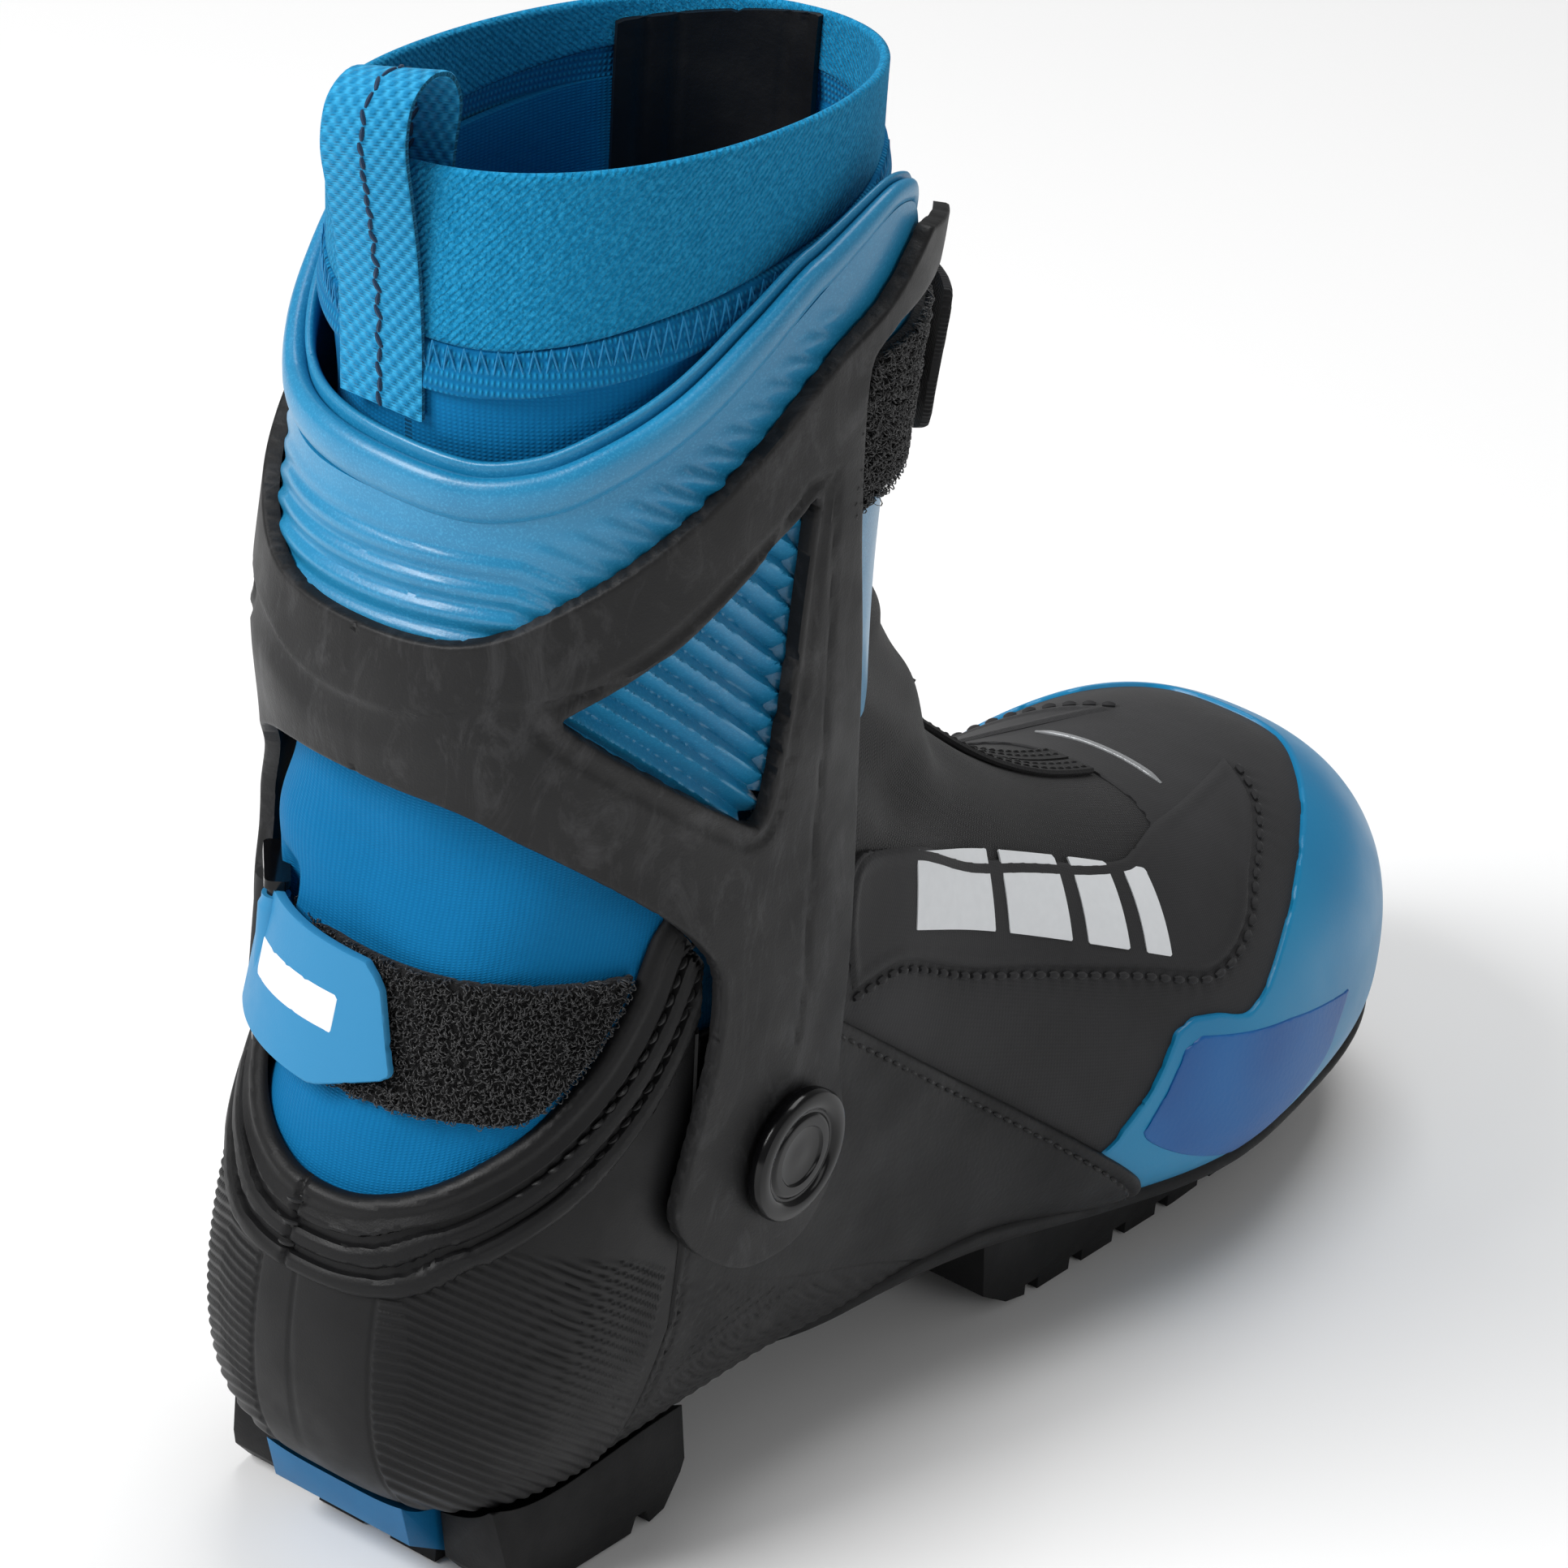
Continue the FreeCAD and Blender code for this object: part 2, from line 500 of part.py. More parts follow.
def make_pull_loop():
    outside = [(2.4, 217), (0.5, 232), (-2.0, 246), (-5.0, 261)]
    inside = [(3.4, 261), (4.6, 250), (6.0, 241)]
    arch = []
    for k in range(9):
        angle = math.pi * k / 8
        x = LOOP_MIDDLE[0] - LOOP_RADIUS * math.cos(angle)
        arch.append((x, LOOP_MIDDLE[1] + LOOP_RADIUS * math.sin(angle)))
    wire = Part.makePolygon([V(x, 0, z) for x, z in outside + arch + inside])
    ribbon = wire.makeOffset2D(LOOP_THICK / 2, fill=True, openResult=True)
    loop = ribbon.extrude(V(0, LOOP_WIDTH, 0))
    loop.translate(V(0, -5.0, 0))
    keep("pull_loop", loop)


def make_cuff_strap():
    low, high = CUFF_STRAP_Z
    band = [(72, low), (69.5, 212), (68, high), (130, high), (130, low)]
    strap = cuff_layer(-2.8, -2.8 + STRAP, band)
    keep("cuff_strap_band", strap.common(box(60, 130, -60, 30, 0, 300)))

    x, y = CUFF_RING
    keep("cuff_strap_ring", ring_frame(x, y, low - 1.5, high + 3.5, RING_DEPTH, CUFF_RING_DIR))
    snug = ring_frame(x, y, low - 1.5, high + 3.5, RING_DEPTH, CUFF_RING_DIR, BORE_CLEARANCE)
    far_x = x + CUFF_RING_DIR[0] * RING_DEPTH
    far_y = y + CUFF_RING_DIR[1] * RING_DEPTH
    outer, bore = sleeve(far_x, far_y, low + 2, high - 1)
    tail = [(72, low + 2), (69.5, 212), (68.2, high - 1), (84, high - 1), (84, low + 2)]
    web = cuff_layer(-2.8, 0.4, tail).common(box(60, 90, 20, 60, 0, 300))
    keep("cuff_ring_webbing", web.fuse(outer).cut(bore))

    outer, bore = sleeve(x, y, low + 0.5, high)
    end = [(84, low), (130, low), (130, high), (84, high)]
    tab = cuff_layer(1.8, 1.8 + TAB, end).common(box(80, 130, -60, y - 0.5, 0, 300))
    keep("cuff_strap_end", tab.fuse(outer).cut(bore).cut(snug))


def build_all():
    make_sole()
    make_toe_bar()
    make_footbed()
    make_heel_cup()
    make_side_shells()
    make_upper()
    make_tongue()
    make_zip()
    make_heel_strap()
    make_cuff()
    make_pivots()
    make_collar()
    make_pull_loop()
    make_cuff_strap()


def export_all():
    os.makedirs("parts", exist_ok=True)
    for name, shape in PARTS.items():
        moved = shape.copy()
        moved.translate(ORIGIN_SHIFT)
        moved.exportStep("parts/" + name + ".step")
        print(name, len(shape.Solids), round(shape.Volume), shape.isValid())


build_all()
export_all()
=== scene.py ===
"""Looks of a skating boot for cross country skiing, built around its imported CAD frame."""
import json
import math

import bmesh
import bpy
import numpy as np
from mathutils import Matrix, Vector
from mathutils.kdtree import KDTree

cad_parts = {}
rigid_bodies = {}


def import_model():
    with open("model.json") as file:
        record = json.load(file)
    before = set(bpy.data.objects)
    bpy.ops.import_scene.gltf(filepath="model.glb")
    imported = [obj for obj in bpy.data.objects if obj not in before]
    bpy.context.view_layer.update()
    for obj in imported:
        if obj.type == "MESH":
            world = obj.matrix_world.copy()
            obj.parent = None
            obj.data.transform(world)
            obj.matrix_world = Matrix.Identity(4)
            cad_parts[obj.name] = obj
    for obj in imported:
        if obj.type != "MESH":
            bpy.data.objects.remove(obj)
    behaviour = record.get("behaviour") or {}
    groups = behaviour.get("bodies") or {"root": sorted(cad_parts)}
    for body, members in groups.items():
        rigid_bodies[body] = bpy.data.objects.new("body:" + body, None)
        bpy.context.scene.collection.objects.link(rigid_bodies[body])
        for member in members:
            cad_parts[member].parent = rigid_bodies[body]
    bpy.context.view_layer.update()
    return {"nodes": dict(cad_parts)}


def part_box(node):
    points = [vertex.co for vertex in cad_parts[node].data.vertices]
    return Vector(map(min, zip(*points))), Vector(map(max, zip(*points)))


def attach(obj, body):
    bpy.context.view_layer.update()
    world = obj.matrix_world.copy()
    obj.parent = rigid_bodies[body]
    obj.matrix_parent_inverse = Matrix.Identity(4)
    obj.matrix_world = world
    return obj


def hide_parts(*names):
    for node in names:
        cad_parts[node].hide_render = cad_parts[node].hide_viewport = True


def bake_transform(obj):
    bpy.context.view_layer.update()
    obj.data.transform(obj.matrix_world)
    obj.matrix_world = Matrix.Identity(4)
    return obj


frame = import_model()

MM = 0.001
SIDES = ((-1, "lateral"), (1, "medial"))

# The sections below are given in a design frame in millimetres, where the toe bar's middle
# is at TOE_BAR. The CAD node of that bar shows where the design frame sits in the row frame.
TOE_BAR = np.array([273.0, 6.0, 8.0])
_low, _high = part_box("toe_bar")
SHIFT = (np.array(_low) + np.array(_high)) / 2 / MM - TOE_BAR

# ---- sections ----------------------------------------------------------------------------
# top or front x, z; bottom or rear x, z; outer y; inner y; height of the widest point as a
# share; roundness of the upper half; roundness of the lower half
FOOT_ROWS = [
    (294.2, 34, 294.2, 34, 8, 8.2, .50, 2.0, 2.0),
    (293, 41, 293, 27, -2, 18, .50, 2.0, 2.0),
    (290, 54, 290, 21, -15, 30, .42, 2.2, 2.6),
    (281, 65, 281, 18, -28, 40, .36, 2.3, 2.8),
    (262, 74, 262, 15, -40, 47, .34, 2.3, 3.0),
    (235, 79, 235, 14, -48, 49, .32, 2.2, 3.0),
    (205, 85, 205, 13, -51, 47, .30, 2.1, 3.0),
    (178, 95, 172, 14, -46, 42, .30, 2.0, 2.8),
    (160, 107, 138, 16, -40, 38, .32, 1.9, 2.8),
    (148, 117, 98, 17, -37, 36, .36, 1.9, 3.2),
    (139, 127, 52, 17, -37, 37, .40, 2.0, 3.6),
    (132, 135, 12, 19, -37, 37, .42, 2.0, 3.4),
    (126, 142, -2, 47, -37, 37, .42, 2.0, 2.6),
    (120, 150, 0, 76, -36, 36, .44, 2.0, 2.2),
    (114, 162, 6, 106, -35, 35, .46, 2.1, 2.2),
    (109, 178, 10, 138, -35, 35, .48, 2.1, 2.2),
    (105, 200, 9, 172, -37, 37, .50, 2.1, 2.2),
    (102, 226, 5, 208, -37, 37, .50, 2.1, 2.2),
    (100, 261, -3, 259, -37, 37, .50, 2.1, 2.2),
    (99, 280, -5, 280, -37, 37, .50, 2.1, 2.2),
]
CUFF_ROWS = [
    (129, 40, 3, 40, -45.5, 45.5, .50, 2.4, 2.4),
    (127, 58, 1.5, 58, -45.3, 45.3, .50, 2.4, 2.4),
    (125, 76, 0, 76, -45, 45, .50, 2.4, 2.4),
    (122, 94, 0, 94, -44.5, 44.5, .50, 2.4, 2.4),
    (119, 112, 0, 112, -43.8, 44, .50, 2.4, 2.4),
    (116, 130, 1, 130, -43, 44.7, .50, 2.4, 2.3),
    (112.5, 148, 1, 148, -43, 45.8, .50, 2.4, 2.3),
    (110, 166, -2.5, 166, -43.5, 46.5, .50, 2.4, 2.3),
    (109, 184, -3, 184, -43.5, 46, .50, 2.4, 2.3),
    (109, 204, -4, 204, -44, 44.5, .50, 2.4, 2.3),
    (110, 224, -6, 224, -45, 45, .50, 2.4, 2.3),
    (111, 246, -8, 246, -46, 46, .50, 2.4, 2.3),
    (112, 270, -10, 270, -47, 47, .50, 2.4, 2.3),
]
TAU = 2 * math.pi


class Surface:
    """Smooth skin through a list of sections. u counts sections from the first one; v runs
    round each section: 0 at the top or front, a quarter turn at the outer side, half at the
    bottom or rear."""

    def __init__(self, rows):
        self.rows = np.array(rows, float)
        n = len(rows)
        matrix = np.eye(n)
        right = np.zeros_like(self.rows)
        for i in range(1, n - 1):
            matrix[i, i - 1:i + 2] = (1, 4, 1)
            right[i] = 6 * (self.rows[i - 1] - 2 * self.rows[i] + self.rows[i + 1])
        self.bend = np.linalg.solve(matrix, right)
        self.last = n - 1
        # the normal of a point on the outer side tells which sign points outwards
        self.sign = -1.0 if self.normal(6.0, math.pi / 2)[1] > 0 else 1.0

    def row(self, u):
        u = np.clip(np.asarray(u, float), 0, self.last)
        i = np.minimum(u.astype(int), self.last - 1)
        t = (u - i)[..., None]
        a, b = self.rows[i], self.rows[i + 1]
        ma, mb = self.bend[i], self.bend[i + 1]
        s = 1 - t
        return a * s + b * t + ((s ** 3 - s) * ma + (t ** 3 - t) * mb) / 6

    def at(self, u, v):
        u, v = np.broadcast_arrays(np.asarray(u, float), np.asarray(v, float))
        p = self.row(u)
        tx, tz, bx, bz, yo, yi, q, nt, nb = (p[..., k] for k in range(9))
        c, s = np.cos(v), np.sin(v)
        e = 2 / np.where(c >= 0, nt, nb)
        reach = np.abs(c) ** e
        k = np.where(c >= 0, q + (1 - q) * reach, q - q * reach)
        y = (yo + yi) / 2 - np.sign(s) * (yi - yo) / 2 * np.abs(s) ** e
        return np.stack([bx + (tx - bx) * k, y, bz + (tz - bz) * k], -1)

    def tangents(self, u, v, du=0.02, dv=0.02):
        pu = (self.at(u + du, v) - self.at(u - du, v)) / (2 * du)
        pv = (self.at(u, v + dv) - self.at(u, v - dv)) / (2 * dv)
        return pu, pv

    def normal(self, u, v):
        pu, pv = self.tangents(u, v)
        n = np.cross(pu, pv)
        n /= np.linalg.norm(n, axis=-1, keepdims=True) + 1e-12
        return n

    def outward(self, u, v):
        return self.normal(u, v) * self.sign


FOOT = Surface(FOOT_ROWS)
CUFF = Surface(CUFF_ROWS)


# ---- outlines and fields -----------------------------------------------------------------
def smooth(points, closed=True, corners=(), steps=8):
    """Curve through the points; it stays sharp at the points whose places are in corners."""
    p = np.array(points, float)
    n = len(p)
    out = []
    last = n if closed else n - 1
    for i in range(last):
        a, b = p[i], p[(i + 1) % n]
        before = p[i - 1] if (closed or i > 0) else a
        after = p[(i + 2) % n] if (closed or i + 2 < n) else b
        da, db = (b - before) / 2, (after - a) / 2
        length = np.linalg.norm(b - a)
        if i in corners:
            da = (b - a)
        if (i + 1) % n in corners:
            db = (b - a)
        for d in (da, db):
            size = np.linalg.norm(d)
            if size > length:
                d *= length / size
        for k in range(steps):
            t = k / steps
            h = (2 * t ** 3 - 3 * t ** 2 + 1, t ** 3 - 2 * t ** 2 + t,
                 -2 * t ** 3 + 3 * t ** 2, t ** 3 - t ** 2)
            out.append(h[0] * a + h[1] * da + h[2] * b + h[3] * db)
    if not closed:
        out.append(p[-1])
    return np.array(out)


def line_distance(line, p, closed=False):
    """Distance of each point p from a polyline."""
    a = line if closed else line[:-1]
    b = np.roll(line, -1, 0) if closed else line[1:]
    best = np.full(len(p), 1e9)
    for s, e in zip(a, b):
        d = e - s
        t = np.clip(((p - s) @ d) / max(d @ d, 1e-12), 0, 1)
        best = np.minimum(best, np.linalg.norm(p - s - t[:, None] * d, axis=1))
    return best


def inside_distance(outline, p):
    """Distance from a closed outline: positive inside it, negative outside."""
    inside = np.zeros(len(p), bool)
    for s, e in zip(outline, np.roll(outline, -1, 0)):
        if s[1] == e[1]:
            continue
        spans = (s[1] > p[:, 1]) != (e[1] > p[:, 1])
        cut = s[0] + (p[:, 1] - s[1]) * (e[0] - s[0]) / (e[1] - s[1])
        inside ^= spans & (p[:, 0] < cut)
    return np.where(inside, 1, -1) * line_distance(outline, p, True)


def side_view(outline):
    """Field of a side-view outline, for both sides of the boot."""
    outline = np.array(outline, float)
    return lambda uv, pts: inside_distance(outline, pts[:, [0, 2]])


def ramp(x, low, high):
    """0 below low, 1 above high, with a smooth step between."""
    t = np.clip((x - low) / (high - low), 0, 1)
    return t * t * (3 - 2 * t)


def round_edge(d, radius, height):
    """Height of a panel with a rounded edge, at distance d from it."""
    t = np.clip(d / radius, 0, 1)
    return height - radius + radius * np.sqrt(np.clip(1 - (1 - t) ** 2, 0, 1)) if height >= radius \
        else height * np.sqrt(np.clip(1 - (1 - t) ** 2, 0, 1))


def nearest_distance(cloud, points):
    """Distance of each point from the nearest point of the cloud."""
    tree = KDTree(len(cloud))
    for k, p in enumerate(cloud):
        tree.insert(p, k)
    tree.balance()
    return np.array([tree.find(p)[2] for p in points])


def run_along(points):
    """Length from the first point to each point of a line."""
    return np.r_[0, np.cumsum(np.linalg.norm(np.diff(points, axis=0), axis=1))]


class Patch:
    """Triangles over part of a surface, kept as (u, v) so that its points stay on the surface."""

    def __init__(self, surface, u, v, step):
        self.surface = surface
        self.v_range = v
        lu = np.linspace(*u, 60)
        lv = np.linspace(*v, 120)
        along = max(run_along(surface.at(lu, x))[-1] for x in np.linspace(*v, 9))
        around = max(run_along(surface.at(x, lv))[-1] for x in np.linspace(*u, 9))
        nu, nv = int(along / step) + 2, int(around / step) + 2
        gu, gv = np.meshgrid(np.linspace(*u, nu), np.linspace(*v, nv), indexing="ij")
        self.uv = np.stack([gu.ravel(), gv.ravel()], 1)
        i, j = np.meshgrid(np.arange(nu - 1), np.arange(nv - 1), indexing="ij")
        a = (i * nv + j).ravel()
        b, c, d = a + 1, a + nv, a + nv + 1
        odd = ((i + j) % 2).ravel().astype(bool)
        first = np.where(odd[:, None], np.stack([a, b, c], 1), np.stack([a, b, d], 1))
        second = np.where(odd[:, None], np.stack([b, d, c], 1), np.stack([a, d, c], 1))
        self.tri = np.concatenate([first, second])

    def points(self):
        return self.surface.at(self.uv[:, 0], self.uv[:, 1])

    def field(self, function):
        """A field in true millimetres along the surface, near where it is zero."""
        step = np.array([[0.01, 0.0], [0.0, 0.01]])
        here = self.points()
        there = [self.surface.at(*(self.uv + s).T) for s in step]
        value = function(self.uv, here)
        gu, gv = ((function(self.uv + s, p) - value) / 0.01 for s, p in zip(step, there))
        pu, pv = ((p - here) / 0.01 for p in there)
        e, f, g = (pu * pu).sum(1), (pu * pv).sum(1), (pv * pv).sum(1)
        slope = (g * gu ** 2 - 2 * f * gu * gv + e * gv ** 2) / np.maximum(e * g - f * f, 1e-9)
        return value / np.sqrt(np.clip(slope, 0.04, 4))

    def split(self, values, level=0.0):
        """Adds points where values cross the level, so that edges run along it."""
        f = values - level
        tri, uv = self.tri, self.uv
        edges = np.sort(np.concatenate([tri[:, [0, 1]], tri[:, [1, 2]], tri[:, [2, 0]]]), axis=1)
        edges = np.unique(edges, axis=0)
        fa, fb = f[edges[:, 0]], f[edges[:, 1]]
        crossing = fa * fb < 0
        edges = edges[crossing]
        fa, fb = fa[crossing], fb[crossing]
        t = fa / (fa - fb)
        place = uv[edges[:, 0]] * (1 - t)[:, None] + uv[edges[:, 1]] * t[:, None]
        free = (uv[:, 1] > self.v_range[0] + 1e-9) & (uv[:, 1] < self.v_range[1] - 1e-9)
        near_a, near_b = (t < 0.22) & free[edges[:, 0]], (t > 0.78) & free[edges[:, 1]]
        uv[edges[near_a, 0]] = place[near_a]
        f[edges[near_a, 0]] = 0
        uv[edges[near_b, 1]] = place[near_b]
        f[edges[near_b, 1]] = 0
        fa, fb = f[edges[:, 0]], f[edges[:, 1]]
        still = fa * fb < 0
        edges, place = edges[still], place[still]
        number = {(int(a), int(b)): len(uv) + k for k, (a, b) in enumerate(edges)}
        self.uv = np.concatenate([uv, place])
        f = np.concatenate([f, np.zeros(len(place))])
        low, high = f[tri].min(1), f[tri].max(1)
        cut = (low < 0) & (high > 0)
        fresh = []
        for a, b, c in tri[cut]:
            a, b, c = int(a), int(b), int(c)
            ring = []
            for p, q in ((a, b), (b, c), (c, a)):
                ring.append(p)
                mid = number.get((min(p, q), max(p, q)))
                if mid is not None:
                    ring.append(mid)
            start = next((k for k, n in enumerate(ring) if f[n] == 0), 0)
            ring = ring[start:] + ring[:start]
            above = [n for n in ring if f[n] >= 0]
            below = [n for n in ring if f[n] <= 0]
            for part in (above, below):
                for k in range(1, len(part) - 1):
                    fresh.append((part[0], part[k], part[k + 1]))
        self.tri = np.concatenate([tri[~cut], np.array(fresh, int).reshape(-1, 3)])
        return f + level

    def keep(self, wanted):
        """Drops the triangles that have a point where wanted is false."""
        self.tri = self.tri[wanted[self.tri].all(1)]
        used = np.unique(self.tri)
        renumber = np.full(len(self.uv), -1)
        renumber[used] = np.arange(len(used))
        self.uv = self.uv[used]
        self.tri = renumber[self.tri]
        return used

    def trim(self, function, level=0.0):
        """Keeps the part where the field is above the level."""
        values = self.split(self.field(function), level)
        self.keep(values >= level - 1e-9)
        return self

    def rings(self, values, levels):
        """Adds points along several levels of the values, and gives the values of all points."""
        for level in levels:
            values = self.split(values, level)
        return values

    def edge_rings(self, levels=(0.25, 0.7, 1.4)):
        """Distance from the patch's own edge, with rings of points at some levels of it."""
        return self.rings(self.edge_distance(), levels)

    def ids(self):
        """One number for each place: points that meet at a closed seam share it."""
        points = self.points()
        key = np.round(points * 200).astype(np.int64)
        return np.unique(key, axis=0, return_inverse=True)[1].ravel()

    def border(self):
        """The edges, as pairs of points, with the patch on one side only."""
        ids = self.ids()
        tri = self.tri
        edges = np.concatenate([tri[:, [0, 1]], tri[:, [1, 2]], tri[:, [2, 0]]])
        named = np.sort(ids[edges], axis=1)
        _, place, count = np.unique(named, axis=0, return_inverse=True, return_counts=True)
        return edges[count[place.ravel()] == 1]

    def edge_distance(self):
        points = self.points()
        tree_points = []
        for a, b in self.border():
            pa, pb = points[a], points[b]
            n = max(1, int(np.linalg.norm(pb - pa) / 0.3))
            tree_points.extend(pa + (pb - pa) * k / n for k in range(n + 1))
        return nearest_distance(np.array(tree_points), points)


def scale_uv(patch):
    """Lengths in millimetres round and along the surface, for the weave of fabrics."""
    s = patch.surface
    mid_u = float(np.mean(patch.uv[:, 0]))
    mid_v = float(np.mean(patch.uv[:, 1]))
    vs = np.linspace(patch.uv[:, 1].min(), patch.uv[:, 1].max(), 200)
    us = np.linspace(patch.uv[:, 0].min(), patch.uv[:, 0].max(), 200)
    around = run_along(s.at(mid_u, vs))
    along = run_along(s.at(us, mid_v))
    return np.stack([np.interp(patch.uv[:, 1], vs, around), np.interp(patch.uv[:, 0], us, along)], 1)


# ---- meshes ------------------------------------------------------------------------------
def make_object(name, verts, faces, material, uv=None, sharp=40.0):
    """Object from points in the design frame, in millimetres."""
    verts = (np.asarray(verts, float) + SHIFT) * MM
    mesh = bpy.data.meshes.new(name)
    mesh.from_pydata(verts.tolist(), [], [tuple(int(i) for i in f) for f in faces])
    mesh.validate()
    if uv is not None:
        layer = mesh.uv_layers.new(name="weave")
        loops = np.zeros(len(mesh.loops), np.int32)
        mesh.loops.foreach_get("vertex_index", loops)
        layer.data.foreach_set("uv", np.asarray(uv, np.float32)[loops].ravel())
    obj = bpy.data.objects.new(name, mesh)
    bpy.context.scene.collection.objects.link(obj)
    mesh.materials.append(material)
    mesh.polygons.foreach_set("use_smooth", [True] * len(mesh.polygons))
    mesh.set_sharp_from_angle(angle=math.radians(sharp))
    mesh.update()
    return obj


def shell(name, patch, outer, inner, material, sharp=40.0):
    """Closed solid between two heights above the patch's surface."""
    u, v = patch.uv.T
    base = patch.points()
    normal = patch.surface.outward(u, v)
    ids = patch.ids()
    _, first = np.unique(ids, return_index=True)
    outer = np.broadcast_to(outer, (len(u),))
    inner = np.broadcast_to(inner, (len(u),))
    top = (base + normal * outer[:, None])[first]
    low = (base + normal * inner[:, None])[first]
    n = len(first)
    tri = patch.tri if patch.surface.sign < 0 else patch.tri[:, ::-1]
    border = patch.border()
    if patch.surface.sign > 0:
        border = border[:, ::-1]
    tri = ids[tri]
    border = ids[border]
    proper = (tri[:, 0] != tri[:, 1]) & (tri[:, 1] != tri[:, 2]) & (tri[:, 2] != tri[:, 0])
    tri = tri[proper]
    walls = np.stack([border[:, 1], border[:, 0], border[:, 0] + n, border[:, 1] + n], 1)
    faces = tri.tolist() + (tri[:, ::-1] + n).tolist() + walls[border[:, 0] != border[:, 1]].tolist()
    uv = scale_uv(patch)[first]
    return make_object(name, np.concatenate([top, low]), faces, material, np.concatenate([uv, uv]), sharp)


# ---- curves that lie on a surface --------------------------------------------------------
SCALE = np.array([15.0, 36.0])     # millimetres per row and per radian, roughly


def locate(surface, targets, v_low=-math.pi):
    """(u, v) of points; targets are (x, z) of a side view, or (x, y, z)."""
    targets = np.atleast_2d(np.array(targets, float))
    axes = [0, 2] if targets.shape[1] == 2 else [0, 1, 2]
    span = math.pi if targets.shape[1] == 2 else TAU
    gu, gv = np.meshgrid(np.linspace(0.05, surface.last, 240), np.linspace(v_low, v_low + span, 240),
                         indexing="ij")
    grid = surface.at(gu, gv)[..., axes].reshape(-1, len(axes))
    u, v = np.zeros(len(targets)), np.zeros(len(targets))
    for k, p in enumerate(targets):
        best = np.argmin(((grid - p) ** 2).sum(1))
        u[k], v[k] = gu.flat[best], gv.flat[best]
    for _ in range(8):
        away = targets - surface.at(u, v)[..., axes]
        pu, pv = (t[..., axes] for t in surface.tangents(u, v, 1e-3, 1e-3))
        e, f, g = (pu * pu).sum(-1), (pu * pv).sum(-1), (pv * pv).sum(-1)
        a, b = (pu * away).sum(-1), (pv * away).sum(-1)
        det = e * g - f * f + 1e-3 * (e + g)
        u = np.clip(u + np.clip((g * a - f * b) / det, -.2, .2), 0.05, surface.last)
        v = v + np.clip((e * b - f * a) / det, -.1, .1)
        if span < TAU:
            v = np.clip(v, v_low, v_low + span)
    return np.stack([u, v], 1)


def skin_line(surface, picks, closed=False, corners=(), v_low=-math.pi, steps=8):
    """Smooth (u, v) line through picked points."""
    return smooth(locate(surface, picks, v_low) * SCALE, closed, corners, steps) / SCALE


def uv_field(line):
    """Field of a closed (u, v) line."""
    outline = line * SCALE
    return lambda uv, pts: inside_distance(outline, uv * SCALE)


class Path:
    """Evenly spaced points along a (u, v) line, at a height above the surface."""

    def __init__(self, surface, line, height, spacing):
        uv = self.spread(surface.at(*line.T), line, spacing)
        self.normal = surface.outward(*uv.T)
        self.points = surface.at(*uv.T) + self.normal * height
        self.frame()

    def spread(self, base, values, spacing):
        """Values at even steps along the base line."""
        run = run_along(base)
        self.length = run[-1]
        self.run = np.linspace(0, self.length, max(3, int(round(self.length / spacing)) + 1))
        return np.stack([np.interp(self.run, run, column) for column in values.T], 1)

    def frame(self):
        t = np.gradient(self.points, axis=0)
        t /= np.linalg.norm(t, axis=1, keepdims=True) + 1e-12
        self.tangent = t
        side = np.cross(t, self.normal)
        self.side = side / (np.linalg.norm(side, axis=1, keepdims=True) + 1e-12)

    def pick(self, values, place):
        """One row of the values, at a length along the path."""
        return np.array([np.interp(place, self.run, column) for column in values.T])


def oval(across, high):
    """Section of a round or flattened roll."""
    return [(across * math.cos(a), high * math.sin(a)) for a in np.linspace(0, TAU, 21)[:-1]]


def tube_faces(rings, sides):
    """Faces of a closed tube: quads between its rings, and a cap on each end."""
    faces = []
    for i in range(rings - 1):
        for k in range(sides):
            l = (k + 1) % sides
            faces.append((i * sides + k, i * sides + l, (i + 1) * sides + l, (i + 1) * sides + k))
    faces.append(tuple(range(sides))[::-1])
    faces.append(tuple((rings - 1) * sides + k for k in range(sides)))
    return faces


